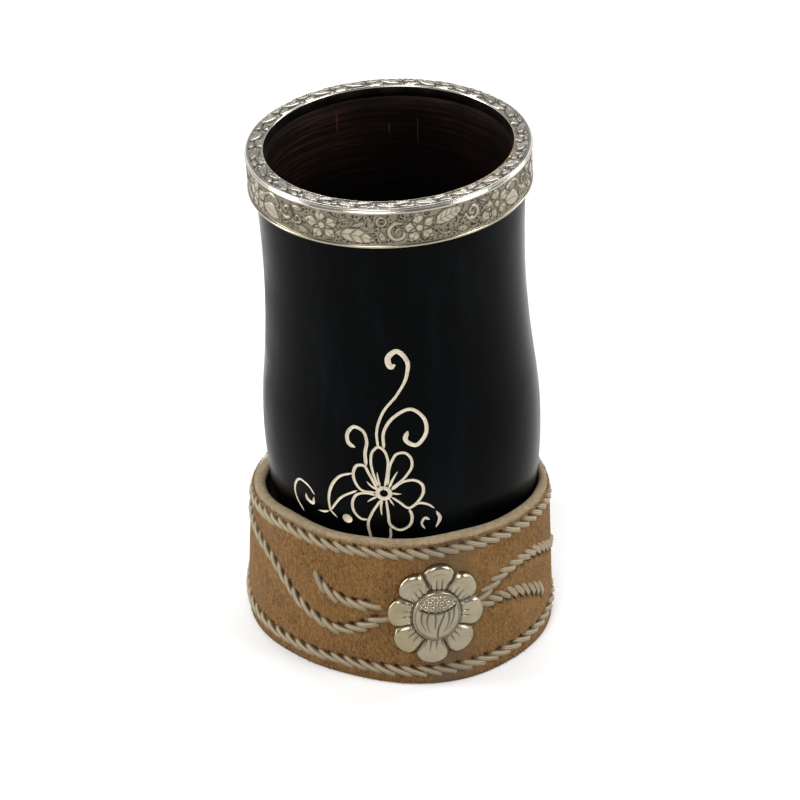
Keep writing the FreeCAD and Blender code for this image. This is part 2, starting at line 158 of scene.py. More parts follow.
def horn_side(height, horn):
    """Outside radius of the horn at a height along its own axis."""
    height = np.asarray(height, float)
    belly_z, neck_z = mm(horn.belly_height), mm(horn.neck_height)
    belly_r, neck_r = mm(horn.belly_radius), mm(horn.neck_radius)
    belly_c, neck_c, rim_c = mm(horn.belly_curve), mm(horn.neck_curve), mm(horn.rim_curve)
    join = belly_z + (neck_z - belly_z) * belly_c / (belly_c + neck_c)
    rise = np.maximum(height, mm(horn.straight)) - belly_z
    swell = belly_r - belly_c + np.sqrt(np.maximum(belly_c**2 - rise**2, 0))
    hollow = neck_r + neck_c - np.sqrt(np.maximum(neck_c**2 - (height - neck_z) ** 2, 0))
    flare = neck_r + rim_c - np.sqrt(np.maximum(rim_c**2 - (height - neck_z) ** 2, 0))
    return np.where(height < join, swell, np.where(height < neck_z, hollow, flare))


def horn_matrix(horn):
    """Leans the horn and sets it on its foot."""
    return Matrix.Translation((horn.shift, 0, 0)) @ Matrix.Rotation(-horn.lean, 4, "Y")


# How the band's outline departs from a plain round one: azimuth in degrees and millimetres, for the foot's
# radius, the top's radius and the top's height
FOOT_OUTLINE = [
    (-180, -1.8), (-130, -1.0), (-100, -0.4), (-75, 0.7), (-51, -0.1), (-29, -0.7), (-8, 1.5), (10, 2.1),
    (28, 1.5), (41, 0.7), (52, -0.5), (80, -5.1), (110, -5.0),
]
TOP_OUTLINE = [
    (-180, -2.4), (-130, -2.4), (-100, -1.8), (-60, -0.8), (0, -0.1), (30, -0.2), (50, -1.3), (80, -3.3),
    (110, -3.4),
]
TOP_DIP = [
    (-180, -8.6), (-118, -8.6), (-90, -4.8), (-60, -0.6), (-20, 0.0), (15, 0.0), (35, -0.9), (55, -2.8),
    (80, -7.2), (96, -9.2), (120, -9.0),
]


def band_profile(stops, azimuth):
    """A table of azimuths and values, rounded off and read at each azimuth."""
    degree = np.arange(-180, 180)
    values = np.interp(degree, *zip(*stops), period=360)
    reach = 14
    weights = np.hanning(2 * reach + 1)
    wrapped = np.concatenate([values[-reach:], values, values[:reach]])
    return np.interp(azimuth, degree, np.convolve(wrapped, weights / weights.sum(), "valid"), period=360)


def hide_height(azimuth, hide):
    """Height of the band's top edge at an azimuth in degrees."""
    return mm(hide.height) + band_profile(TOP_DIP, azimuth)


def plain_radius(height, hide):
    """Outside radius of the band as it is turned, before it is pushed into shape."""
    return mm(hide.foot_radius) + (mm(hide.top_radius) - mm(hide.foot_radius)) * height / mm(hide.height)


def settled(level, azimuth, hide):
    """Height at which a point of the plain band comes to lie when its top edge dips."""
    top = mm(hide.height)
    return level + (hide_height(azimuth, hide) - top) * smooth(4.0, top - 2.0, level)


def seam_side(azimuth, hide):
    """Degrees from the seam in the hide."""
    return turned(azimuth, math.degrees(hide.seam))


def lace_radius(hide):
    """Radius on which the laces are set out flat."""
    return mm(hide.foot_radius) - 1.0


def hide_radius(azimuth, height, hide):
    """Outside radius of the hide band at an azimuth in degrees and a height."""
    azimuth = np.asarray(azimuth, float)
    foot = mm(hide.foot_radius) + band_profile(FOOT_OUTLINE, azimuth)
    top = mm(hide.top_radius) + band_profile(TOP_OUTLINE, azimuth)
    share = np.asarray(height, float) / mm(hide.height)
    return foot + (top - foot) * share + 0.3 * np.sin(np.pi * np.clip(share, 0, 1))


def hide_depth(azimuth, hide, horn_radius=34.4):
    """Thickness of the hide, which is pressed thin where it hugs the horn."""
    return np.minimum(mm(hide.thickness), hide_radius(azimuth, 40.0, hide) - horn_radius)


def on_hide(azimuth, height, proud, hide):
    """Points on the hide, or a distance off it, as metres in the cup's frame."""
    angle = np.radians(azimuth)
    radius = hide_radius(azimuth, height, hide) + proud
    return np.stack([radius * np.sin(angle), -radius * np.cos(angle), height + 0 * angle], axis=-1) * MM


def smooth(low, high, value):
    """Goes from 0 at low to 1 at high, level at both."""
    step = np.clip((value - low) / (high - low), 0.0, 1.0)
    return step * step * (3 - 2 * step)


def bell(along, width, across=0.0, height=1.0):
    """A rounded bump that is 1 at nought, in one direction or in two."""
    return np.exp(-((along / width) ** 2) - ((across / height) ** 2))


def turned(azimuth, middle=0.0):
    """Degrees from a middle azimuth, between -180 and 180."""
    return (azimuth - middle + 180) % 360 - 180


def polar(points):
    """Distance from the upright axis, and azimuth in degrees from the front."""
    return np.hypot(points[:, 0], points[:, 1]), np.degrees(np.arctan2(points[:, 0], -points[:, 1]))


# Working with Blender's tools


def select_only(piece):
    bpy.ops.object.select_all(action="DESELECT")
    piece.select_set(True)
    bpy.context.view_layer.objects.active = piece


def face_outward(piece, merge=None):
    """Turns every face outward, after joining points closer than a distance where one is given."""
    select_only(piece)
    bpy.ops.object.mode_set(mode="EDIT")
    bpy.ops.mesh.select_all(action="SELECT")
    if merge:
        bpy.ops.mesh.remove_doubles(threshold=merge)
    bpy.ops.mesh.normals_make_consistent(inside=False)
    bpy.ops.object.mode_set(mode="OBJECT")


def lathe(name, outline, steps):
    """Turns an outline of (radius, height) points in millimetres about the upright axis."""
    bpy.ops.object.select_all(action="DESELECT")
    bpy.ops.mesh.primitive_plane_add(size=MM)
    piece = bpy.context.object
    piece.name = piece.data.name = name
    bpy.ops.object.mode_set(mode="EDIT")
    bpy.ops.mesh.select_all(action="SELECT")
    bpy.ops.mesh.merge(type="CENTER")
    bpy.ops.transform.translate(value=(outline[0][0] * MM, 0, outline[0][1] * MM))
    for (from_r, from_z), (to_r, to_z) in zip(outline, outline[1:]):
        step = ((to_r - from_r) * MM, 0, (to_z - from_z) * MM)
        bpy.ops.mesh.extrude_region_move(TRANSFORM_OT_translate={"value": step})
    bpy.ops.mesh.select_all(action="SELECT")
    bpy.ops.mesh.remove_doubles(threshold=1e-6)
    bpy.ops.object.mode_set(mode="OBJECT")
    turn = piece.modifiers.new("turn", "SCREW")
    turn.axis = "Z"
    turn.angle = 2 * math.pi
    turn.screw_offset = 0.0
    turn.steps = turn.render_steps = steps
    turn.use_merge_vertices = True
    turn.merge_threshold = 1e-6
    select_only(piece)
    bpy.ops.object.modifier_apply(modifier=turn.name)
    face_outward(piece, 1e-6)
    bpy.ops.object.shade_smooth()
    return piece


def read(items, name, width=1, kind=float):
    """One value of each of a mesh's items, as rows where the value is a vector."""
    flat = np.empty(len(items) * width, kind)
    items.foreach_get(name, flat)
    return flat.reshape(-1, width) if width > 1 else flat


def read_points(piece):
    """The piece's points in millimetres."""
    return mm(read(piece.data.vertices, "co", 3))


def write_points(piece, points):
    piece.data.vertices.foreach_set("co", (points * MM).ravel())
    piece.data.update()


def paint(piece, name, values):
    """Stores one number for each point, for the piece's material to read."""
    layer = piece.data.attributes.new(name, "FLOAT", "POINT")
    layer.data.foreach_set("value", np.asarray(values, np.float32))


def face_centres(piece):
    """Distance from the upright axis and height of each face's centre, in millimetres."""
    centres = mm(read(piece.data.polygons, "center", 3))
    return np.hypot(centres[:, 0], centres[:, 1]), centres[:, 2]


def give_materials(piece, materials, index=None):
    """Gives the piece its materials and, where there are several, each face its own."""
    piece.data.materials.clear()
    for material in materials:
        piece.data.materials.append(material)
    if index is not None:
        piece.data.polygons.foreach_set("material_index", np.asarray(index, np.int32))
    piece.data.update()


def arc_points(centre_r, centre_z, radius, start, end, count):
    """Points of an arc from one angle to another, in degrees."""
    return [
        (centre_r + radius * math.cos(math.radians(a)), centre_z + radius * math.sin(math.radians(a)))
        for a in np.linspace(start, end, count)
    ]


def polyline(points, spacing):
    """A smooth curve through points, resampled at an even spacing."""
    points = np.asarray(points, float)
    gaps = np.linalg.norm(np.diff(points, axis=0), axis=1)
    knots = np.concatenate([[0], np.cumsum(gaps)])
    tangents = np.gradient(points, knots, axis=0)
    where = np.linspace(0, knots[-1], max(int(knots[-1] / spacing), 2) + 1)
    span = np.clip(np.searchsorted(knots, where, side="right") - 1, 0, len(points) - 2)
    width = knots[span + 1] - knots[span]
    share = ((where - knots[span]) / width)[:, None]
    width = width[:, None]
    here = (2 * share**3 - 3 * share**2 + 1) * points[span]
    leaving = (share**3 - 2 * share**2 + share) * width * tangents[span]
    there = (-2 * share**3 + 3 * share**2) * points[span + 1]
    arriving = (share**3 - share**2) * width * tangents[span + 1]
    return here + leaving + there + arriving


# Finishes


class Nodes:
    """A node tree to which nodes are added one at a time."""

    def __init__(self, tree, place):
        self.tree = tree
        self.place = self.add("ShaderNodeTexCoord").outputs[place]

    def add(self, kind, inputs=None, **settings):
        node = self.tree.nodes.new(kind)
        for key, value in settings.items():
            setattr(node, key, value)
        for socket, value in (inputs or {}).items():
            self.feed(node.inputs[socket], value)
        return node

    def feed(self, socket, value):
        """Links what another node puts out to a socket, or sets its number or colour."""
        if hasattr(value, "is_linked"):
            self.tree.links.new(value, socket)
        else:
            socket.default_value = value

    def attribute(self, name):
        return self.add("ShaderNodeAttribute", attribute_name=name).outputs["Fac"]

    def axes(self):
        return self.add("ShaderNodeSeparateXYZ", {0: self.place}).outputs

    def stretch(self, scale):
        return self.add("ShaderNodeMapping", {"Vector": self.place, "Scale": scale}).outputs["Vector"]

    def noise(self, scale, detail, roughness, vector=None, distortion=0.0):
        shape = {"Scale": scale, "Detail": detail, "Roughness": roughness, "Distortion": distortion}
        return self.add("ShaderNodeTexNoise", {"Vector": vector or self.place, **shape}).outputs["Fac"]

    def cells(self, scale):
        return self.add("ShaderNodeTexVoronoi", {"Vector": self.place, "Scale": scale}).outputs["Distance"]

    def ramp(self, value, low, high, start=0.0, end=1.0, kind="SMOOTHSTEP"):
        """Stretches the part of a value between low and high over start to end."""
        span = {"Value": value, "From Min": low, "From Max": high, "To Min": start, "To Max": end}
        return self.add("ShaderNodeMapRange", span, interpolation_type=kind).outputs["Result"]

    def maths(self, operation, first, second=0.0, clamp=False):
        node = self.add("ShaderNodeMath", {0: first, 1: second}, operation=operation, use_clamp=clamp)
        return node.outputs["Value"]

    def times(self, first, second):
        return self.maths("MULTIPLY", first, second)

    def plus(self, first, second, clamp=False):
        return self.maths("ADD", first, second, clamp)

    def blend(self, share, first, second):
        """Goes from the first colour to the second."""
        ends = [value if hasattr(value, "is_linked") else (*value, 1.0) for value in (first, second)]
        return self.add("ShaderNodeMix", {0: share, 6: ends[0], 7: ends[1]}, data_type="RGBA").outputs[2]

    def bump(self, height, distance, strength):
        inputs = {"Strength": strength, "Distance": distance, "Height": height}
        return self.add("ShaderNodeBump", inputs).outputs["Normal"]

    def seen(self):
        """1 for the rays that show the background: those of the camera, of gloss and of glass."""
        rays = self.add("ShaderNodeLightPath").outputs
        straight = self.plus(rays["Is Camera Ray"], rays["Is Glossy Ray"])
        return self.plus(straight, rays["Is Transmission Ray"], clamp=True)


class Finish(Nodes):
    """A material on Blender's main surface shader."""

    def __init__(self, name):
        self.material = bpy.data.materials.new(name)
        self.material.use_nodes = True
        super().__init__(self.material.node_tree, "Object")
        self.surface = next(node for node in self.tree.nodes if node.type == "BSDF_PRINCIPLED")

    def set(self, **values):
        for key, value in values.items():
            self.feed(self.surface.inputs[key.replace("_", " ")], value)
        return self.material


def tinted(colour, *factors):
    """A colour times one factor, or times one for each channel."""
    return tuple(c * f for c, f in zip(colour, factors if len(factors) == 3 else factors * 3))


# Horn


def hairline_cracks(finish):
    """Fine pale cracks that run up the bore, each with its azimuth, its foot and its top."""
    axes = finish.axes()
    wander = finish.times(finish.maths("SUBTRACT", finish.noise(160, 2, 0.5), 0.5), 0.03)
    angle = finish.plus(finish.maths("ARCTAN2", axes["X"], axes["Y"]), wander)
    found = 0.0
    for azimuth, low, high in ((0.37, 0.1135, 0.1205), (-0.33, 0.1185, 0.1235), (0.12, 0.116, 0.119)):
        away = finish.maths("ABSOLUTE", finish.maths("SUBTRACT", angle, azimuth))
        line = finish.ramp(away, 0.003, 0.007, 1.0, 0.0)
        line = finish.times(line, finish.ramp(axes["Z"], low, low + 0.003))
        line = finish.times(line, finish.ramp(axes["Z"], high, high + 0.002, 1.0, 0.0))
        found = finish.maths("MAXIMUM", found, line)
    return found


def polished_finish(horn):
    finish = Finish("polished_horn")
    grain = finish.noise(90, 5, 0.6, finish.stretch((1, 1, 0.18)))
    cloud = finish.noise(45, 3, 0.5)
    pits = finish.ramp(finish.noise(900, 2, 0.6), 0.66, 0.74)
    worn = tuple(c * 2.6 + 0.002 for c in horn.black)
    height = finish.maths("SUBTRACT", finish.times(grain, 0.5), finish.times(pits, 0.5))
    return finish.set(
        Base_Color=finish.blend(finish.ramp(grain, 0.45, 0.8), horn.black, worn),
        Roughness=finish.ramp(cloud, 0.35, 0.7, 0.17, 0.36),
        Specular_IOR_Level=0.03,
        Normal=finish.bump(height, 0.00006, 0.5),
    )


def bored_finish(horn):
    finish = Finish("horn_inside")
    rings = finish.noise(160, 4, 0.65, finish.stretch((0.25, 0.25, 7.0)))
    cloud = finish.noise(30, 3, 0.5, finish.stretch((1, 1, 0.5)))
    tone = finish.blend(finish.ramp(rings, 0.4, 0.75), tinted(horn.inside, 0.45), horn.inside)
    glow = finish.times(finish.ramp(cloud, 0.42, 0.66), finish.ramp(rings, 0.42, 0.62))
    tone = finish.blend(glow, tone, tinted(horn.inside, 4.2, 3.4, 2.8))
    # Painted shade: the bore goes near black further down, where little light reaches
    depth = finish.ramp(finish.axes()["Z"], 0.092, 0.124, 0.9, 0.0)
    tone = finish.blend(depth, tone, (0.0004, 0.0003, 0.0003))
    cracks = finish.times(hairline_cracks(finish), finish.ramp(cloud, 0.3, 0.5, 0.3, 1.0))
    tone = finish.blend(cracks, tone, (0.05, 0.026, 0.014))
    bump = finish.bump(rings, 0.00025, 0.8)
    return finish.set(Base_Color=tone, Roughness=0.62, Specular_IOR_Level=0.06, Normal=bump)


def engraved_finish(horn):
    finish = Finish("engraved_line")
    chalk = finish.noise(500, 3, 0.6)
    tone = finish.blend(finish.ramp(chalk, 0.35, 0.8), horn.cream, tinted(horn.cream, 0.8))
    bump = finish.bump(chalk, 0.00006, 0.6)
    return finish.set(Base_Color=tone, Roughness=0.6, Specular_IOR_Level=0.3, Normal=bump)


# The flower spray, drawn across and up from the flower's centre in millimetres, each line with its width
# at the start, in the middle and at the end
SPRAY = [
    ((0.8, 0.9, 2.1), [(-0.9, 12.8), (-1.1, 16.9), (0.6, 22.3), (4.1, 27.0), (6.4, 31.7), (6.6, 35.8),
        (4.2, 38.5), (2.2, 36.6), (2.9, 34.4), (3.9, 35.0)]),
    ((0.9, 1.1, 1.5), [(0.5, 12.6), (0.6, 17.0), (3.0, 20.9), (7.1, 22.9), (10.2, 19.9), (10.4, 15.9),
        (8.0, 13.3), (5.7, 15.0), (6.3, 17.2)]),
    ((1.2, 1.0, 1.5), [(-4.0, 7.6), (-4.1, 11.2), (-3.6, 14.2), (-4.5, 17.0), (-6.5, 17.8), (-8.4, 15.4),
        (-8.0, 13.1), (-6.5, 12.3)]),
    ((0.8, 0.9, 0.8), [(0.3, 1.8), (1.1, 6.1), (1.3, 9.8), (0.4, 12.2), (-0.8, 13.0), (-2.2, 11.8),
        (-2.8, 8.8), (-2.4, 5.9), (-1.3, 1.9)]),
    ((0.8, 0.9, 0.8), [(1.0, 2.4), (2.2, 9.0), (3.6, 11.2), (5.4, 11.4), (6.8, 9.9), (7.0, 7.7),
        (5.7, 5.2), (1.9, 1.4)]),
    ((0.8, 1.0, 0.8), [(1.9, 1.0), (5.0, 3.4), (7.5, 3.6), (9.2, 2.2), (9.4, -0.2), (8.2, -2.5),
        (5.9, -4.4), (3.5, -2.4), (1.8, -1.0)]),
    ((0.8, 1.0, 1.0), [(0.5, -1.8), (0.8, -6.1), (1.2, -9.6), (3.4, -11.1), (5.7, -9.9), (6.5, -6.9),
        (5.9, -4.6)]),
    ((0.8, 0.9, 0.8), [(-0.8, -1.9), (-3.3, -6.4), (-4.3, -9.2), (-4.1, -12.6), (-3.0, -16.0),
        (-0.6, -16.4), (0.9, -13.6), (1.1, -10.2)]),
    ((0.8, 1.0, 0.9), [(-1.9, -0.7), (-4.3, -0.3), (-6.7, -1.1), (-8.0, -3.9), (-7.6, -6.7),
        (-5.8, -8.4), (-4.3, -8.3)]),
    ((0.8, 1.0, 0.8), [(-1.6, 1.2), (-3.4, 5.4), (-4.7, 7.6), (-6.2, 7.4), (-7.3, 5.2), (-7.0, 2.6),
        (-5.6, 0.5), (-2.0, 0.1)]),
    ((0.7, 1.1, 0.7), [(-7.4, 5.0), (-10.6, 3.5), (-13.0, 0.2), (-14.1, -3.9), (-14.0, -8.2)]),
    ((0.7, 0.8, 0.7), [(-13.9, -7.8), (-10.5, -2.6), (-6.6, 0.1)]),
    ((0.6, 0.9, 0.6), [(-21.5, -11.9), (-23.4, -8.6), (-23.4, -4.6), (-21.9, -2.2), (-19.8, -2.7),
        (-18.0, -4.9)]),
    ((0.6, 1.4, 1.0), [(-18.2, -5.6), (-18.8, -7.8), (-20.2, -7.2), (-20.4, -5.6)]),
    ((0.3, 1.0, 0.5), [(-17.4, -9.3), (-15.6, -8.9), (-14.2, -8.1)]),
    ((0.5, 0.7, 0.3), [(-14.2, -7.6), (-13.2, -8.6), (-12.2, -9.6)]),
    ((0.9, 0.9, 0.5), [(5.9, -4.5), (8.4, -3.2), (10.4, -3.9), (11.9, -5.4)]),
    ((0.7, 1.3, 0.6), [(12.2, -6.2), (13.0, -8.4), (12.0, -11.3)]),
    ((0.6, 0.8, 1.2), [(9.4, -11.3), (8.7, -9.4), (9.6, -7.9), (10.6, -8.6)]),
    ((0.8, 0.6, 0.4), [(-0.8, 1.9), (-1.2, 4.0), (-1.4, 6.0)]),
    ((0.9, 0.7, 0.4), [(1.3, 1.6), (2.4, 4.2), (3.6, 6.4)]),
    ((0.9, 0.7, 0.4), [(1.8, 0.1), (3.0, -0.1), (4.3, -0.2)]),
    ((0.9, 0.6, 0.4), [(1.2, -1.5), (1.8, -2.6), (2.3, -3.6)]),
    ((0.9, 0.7, 0.4), [(-0.5, -1.9), (-0.9, -4.2), (-0.8, -6.6)]),
    ((0.9, 0.7, 0.4), [(-1.6, -1.0), (-3.0, -1.9), (-4.2, -2.9)]),
    ((0.9, 0.7, 0.4), [(-1.6, 1.0), (-3.0, 1.9), (-4.1, 3.2)]),
]
# Share of the drawn widths that the graver takes
GRAVER = 0.8
# The seed's place and radius, and the inside and outside radius of the ring round the flower's eye
SEED = ((-9.7, -9.1), 1.15)
EYE_RING = (1.05, 2.05)


def graver_cut(name, across_up, widths, horn):
    """The round-bottomed cut that the graver leaves along one line, as a closed bar half sunk in the horn."""
    across, up = across_up[:, 0], across_up[:, 1]
    height = mm(horn.flower_height) + up
    radius = horn_side(height, horn)
    out = np.sqrt(radius**2 - across**2)
    turn = horn.flower_azimuth
    x = across * math.cos(turn) + out * math.sin(turn)
    y = across * math.sin(turn) - out * math.cos(turn)
    way = np.stack([x, y, np.zeros_like(x)], axis=1) / radius[:, None]
    lift = widths * 0.3
    bar = widths * 0.58
    points = np.stack([x, y, height], axis=1) + way * lift[:, None]
    curve = bpy.data.curves.new(name, "CURVE")
    curve.dimensions = "3D"
    curve.bevel_depth = MM
    curve.bevel_resolution = 3
    curve.use_fill_caps = True
    run = curve.splines.new("POLY")
    run.points.add(len(points) - 1)
    run.points.foreach_set("co", np.concatenate([points * MM, np.ones((len(points), 1))], axis=1).ravel())
    run.points.foreach_set("radius", bar)
    cutter = bpy.data.objects.new(name, curve)
    bpy.context.collection.objects.link(cutter)
    select_only(cutter)
    bpy.ops.object.convert(target="MESH")
    cutter = bpy.context.object
    face_outward(cutter, 1e-7)
    cutter.matrix_world = horn_matrix(horn)
    return cutter


def spray_cuts(horn):
    """Every cut of the spray: its lines, the ring round the flower's eye and the seed beside it."""
    cuts = []
    spacing, tip = 0.35, 0.8
    for number, (widths, points) in enumerate(SPRAY):
        line = polyline(points, spacing)
        share = np.linspace(0, 1, len(line))
        width = np.interp(share, [0, 0.5, 1], widths) * GRAVER
        reach = tip / (spacing * len(line))
        tips = np.clip(np.minimum(share, 1 - share) / reach, 0, 1) ** 0.7
        cuts.append(graver_cut(f"cut_{number}", line, width * np.clip(tips, 0.25, 1), horn))
    around = np.linspace(0, 2 * math.pi, 33)
    inner, outer = EYE_RING
    middle = (inner + outer) / 2
    ring = np.stack([middle * np.sin(around), middle * np.cos(around)], axis=1)
    cuts.append(graver_cut("cut_eye", ring, np.full(len(ring), outer - inner + 0.15), horn))
    (across, up), radius = SEED
    height = mm(horn.flower_height) + up
    turn = horn.flower_azimuth + across / float(horn_side(height, horn))
    out = float(horn_side(height, horn)) + 0.55
    bpy.ops.object.select_all(action="DESELECT")
    place = (out * math.sin(turn) * MM, -out * math.cos(turn) * MM, height * MM)
    bpy.ops.mesh.primitive_uv_sphere_add(
        segments=24, ring_count=12, radius=radius * MM * 1.25, location=place
    )
    seed = bpy.context.object
    seed.matrix_world = horn_matrix(horn) @ seed.matrix_world
    cuts.append(seed)
    return cuts


class MATECUP_OT_horn(bpy.types.Operator):
    """Turn the horn, engrave the flower spray into it and finish it"""

    bl_idname = "matecup.horn"
    bl_label = "Horn"

    def execute(self, context):
        horn = context.scene.mate_horn
        rim = context.scene.mate_rim
        foot, top, bore = mm(horn.foot), mm(horn.top), mm(horn.bore)
        shoulder = mm(rim.foot)
        levels = [foot - 2, foot + 6, *np.arange(foot + 14, shoulder, 1.5), shoulder]
        seat = mm(rim.radius) - 1.05
        rebate = mm(rim.mouth) + mm(rim.sheet) + 0.1
        ledge = mm(rim.collar_foot) - 0.1
        outline = [(float(horn_side(z, horn)), float(z)) for z in levels]
        outline += [(seat - 0.15, shoulder + 0.6), (seat, shoulder + 1.2), (seat, top), (rebate, top)]
        outline += [(rebate, ledge), (bore + 0.3, ledge), (bore, ledge - 0.3)]
        outline += [(bore, z) for z in np.linspace(ledge - 4, foot - 2, 24)]
        piece = lathe("horn", outline + outline[:1], 256)
        finishes = [polished_finish(horn), bored_finish(horn), engraved_finish(horn)]
        within = face_centres(piece)[0] < (bore + rebate) / 2
        give_materials(piece, finishes, within.astype(int))

        for cutter in spray_cuts(horn):
            select_only(cutter)
            bpy.ops.object.transform_apply(location=True, rotation=True, scale=True)
            give_materials(cutter, finishes, np.full(len(cutter.data.polygons), 2))
            cutter.data.transform(horn_matrix(horn).inverted())
            select_only(piece)
            cut = piece.modifiers.new("engrave", "BOOLEAN")
            cut.operation = "DIFFERENCE"
            cut.solver = "MANIFOLD"
            cut.object = cutter
            bpy.ops.object.modifier_apply(modifier=cut.name)
            bpy.data.objects.remove(cutter)
        self.settle_normals(piece, horn)
        piece.data.transform(horn_matrix(horn))
        self.level_foot(piece, foot)
        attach(piece, "root")
        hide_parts("horn_wall")
        return {"FINISHED"}

    def settle_normals(self, piece, horn):
        """Keeps the polished side's shading true round the cuts."""
        mesh = piece.data
        normals = read(mesh.corner_normals, "vector", 3)
        finish = np.repeat(read(mesh.polygons, "material_index", 1, np.int32),
                           read(mesh.polygons, "loop_total", 1, np.int32))
        corner = read_points(piece)[read(mesh.loops, "vertex_index", 1, np.int32)]
        around, height = np.hypot(corner[:, 0], corner[:, 1]), corner[:, 2]
        slope = (horn_side(height + 0.2, horn) - horn_side(height - 0.2, horn)) / 0.4
        true = np.stack([corner[:, 0] / around, corner[:, 1] / around, -slope], axis=1)
        true /= np.linalg.norm(true, axis=1)[:, None]
        on_side = (np.abs(around - horn_side(height, horn)) < 0.06) & (height > 12) & (height < 119)
        on_side &= finish == 0
        normals[on_side] = true[on_side]
        mesh.normals_split_custom_set(normals)

    def level_foot(self, piece, foot):
        """Cuts the leaning horn level where it stands on the sole."""
        select_only(piece)
        bpy.ops.object.mode_set(mode="EDIT")
        bpy.ops.mesh.select_all(action="SELECT")
        bpy.ops.mesh.bisect(
            plane_co=(0, 0, foot * MM), plane_no=(0, 0, 1), use_fill=True, clear_inner=True, threshold=1e-6
        )
        bpy.ops.object.mode_set(mode="OBJECT")


# Mouth rim

# How far the chased ground lies inside the beads, and the chased flange below the rim's top, in millimetres
BAND_SINK = 0.42
FLANGE_SINK = 0.12


def leaf(u, v, base, tip, width, ribs=0, bend=0.0):
    """Height and engraved lines of a pointed leaf lying on the band."""
    base, tip = np.array(base, float), np.array(tip, float)
    run = np.linalg.norm(tip - base)
    way = (tip - base) / run
    along = ((u - base[0]) * way[0] + (v - base[1]) * way[1]) / run
    side = -(u - base[0]) * way[1] + (v - base[1]) * way[0]
    side = side - bend * np.sin(np.pi * np.clip(along, 0, 1))
    half = width / 2 * np.sin(np.pi * np.clip(along, 0.002, 0.998)) ** 0.8 + 0.02
    within = (along > 0) & (along < 1) & (np.abs(side) < half)
    height = within * (0.6 + 0.4 * (1 - (side / half) ** 2))
    near = (along > -0.04) & (along < 1.04)
    line = near * bell(np.abs(side) - half, 0.24)
    line = np.maximum(line, within * (along < 0.86) * bell(side, 0.09) * 0.8)
    if ribs:
        beat = (along * run - np.abs(side) * 0.8) * ribs / run
        vein = bell((beat % 1.0) - 0.5, 0.13) * within * (np.abs(side) < half * 0.85) * (along > 0.1)
        line = np.maximum(line, vein * 0.75)
    return height, line


def stem(u, v, points, widths):
    """Height and outline of a raised stem or curl along points."""
    path = polyline(points, 0.25)
    half = np.interp(np.linspace(0, 1, len(path)), np.linspace(0, 1, len(widths)), widths) / 2
    gap = np.full(u.shape, 9.0)
    size = np.full(u.shape, 1.0)
    for (px, py), reach in zip(path, half):
        far = np.hypot(u - px, v - py)
        better = far - reach < gap
        gap = np.where(better, far - reach, gap)
        size = np.where(better, reach, size)
    height = np.where(gap < 0, 0.55 + 0.45 * np.clip(-gap / size, 0, 1), 0.0)
    line = bell(gap - 0.03, 0.21)
    return height, line


def highest(parts):
    """The highest relief and the deepest line of several pairs."""
    return [np.maximum.reduce(layer) for layer in zip(*parts)]


def spiral(centre, start, turns, outer, inner, first):
    """Points of a curl round its centre, after the point where its stem starts."""
    steps = 14
    angles = np.radians(first) + np.linspace(0, 2 * math.pi * turns, steps)
    reach = np.linspace(outer, inner, steps)
    path = [(centre[0] + r * math.cos(a), centre[1] + r * math.sin(a)) for a, r in zip(angles, reach)]
    return [start] + path if start else path


def flower(u, v, centre):
    """Height and engraved lines of a flower with five petals."""
    parts = []
    for step in range(5):
        angle = math.radians(90 + 72 * step + 8)
        tip = (centre[0] + 4.5 * math.cos(angle), centre[1] + 3.8 * math.sin(angle))
        parts.append(leaf(u, v, centre, tip, 2.9, 2))
    height, line = highest(parts)
    far = np.hypot(u - centre[0], v - centre[1])
    height = np.where(far < 0.95, 1.0 + 0.25 * (1 - far / 0.95), height)
    line = np.where(far < 0.75, 0, np.maximum(line, bell(far - 0.9, 0.15)))
    return height, line


# What lies between one flower and the next: leaves as (base, tip, width, ribs, bend) and stems as
# (points, widths), in millimetres from the flower on the left
BETWEEN = [
    (
        [((3.2, -0.9), (9.4, -2.2), 3.9, 0, 0.5), ((17.4, 2.7), (13.8, 2.6), 1.5, 0, 0.1),
         ((18.9, -2.9), (15.2, -1.6), 1.7, 0, 0.2)],
        [([(4.2, 2.2), (6.2, 3.1), (8.6, 2.5), (9.3, 0.9), (8.2, 0.3)], (0.9, 0.9, 0.8, 0.5)),
         (spiral((12.2, 0.9), (9.8, -3.0), 1.15, 2.1, 0.5, 200), (0.5, 1.0, 0.7)),
         (spiral((15.4, -0.2), (13.4, 2.4), 1.2, 1.5, 0.4, 150), (0.5, 0.9, 0.6))],
    ),
    (
        [((3.2, -1.4), (12.4, -2.8), 3.9, 4, 0.6), ((6.8, 0.3), (10.8, 1.6), 1.2, 0, 0.25),
         ((14.6, -3.3), (13.6, -0.3), 1.5, 3, 0.15)],
        [(spiral((13.9, 2.0), None, 1.0, 1.05, 1.0, 0), (0.7, 0.7)),
         (spiral((17.6, -0.9), (20.8, 2.6), 1.35, 2.6, 0.5, 62), (0.6, 1.15, 1.05, 0.7)),
         ([(3.9, 1.4), (5.4, 2.2), (7.4, 2.3)], (0.4, 0.7, 0.3))],
    ),
    (
        [((3.2, 0.3), (11.4, 2.6), 3.6, 6, 0.35), ((13.2, -3.0), (9.6, -2.2), 1.6, 3, 0.1),
         ((16.9, -2.7), (20.2, -0.2), 3.0, 4, -0.3)],
        [(spiral((14.4, 0.9), (11.0, -1.0), 1.3, 2.1, 0.5, 190), (0.5, 1.0, 1.0, 0.7)),
         ([(4.6, -1.9), (6.6, -2.7), (8.8, -2.5)], (0.4, 0.8, 0.4)),
         ([(16.6, 2.9), (18.2, 2.4), (19.0, 1.4)], (0.4, 0.8, 0.3))],
    ),
]
# Distance between two flowers at which the pattern was drawn
DRAWN_SPAN = 22.3
# Azimuths of the flowers round the band
FLOWERS = (-74.9, -37.3, 1.3, 36.4, 71.9, 107.4, 142.9, 178.5, 214.0, 249.5)


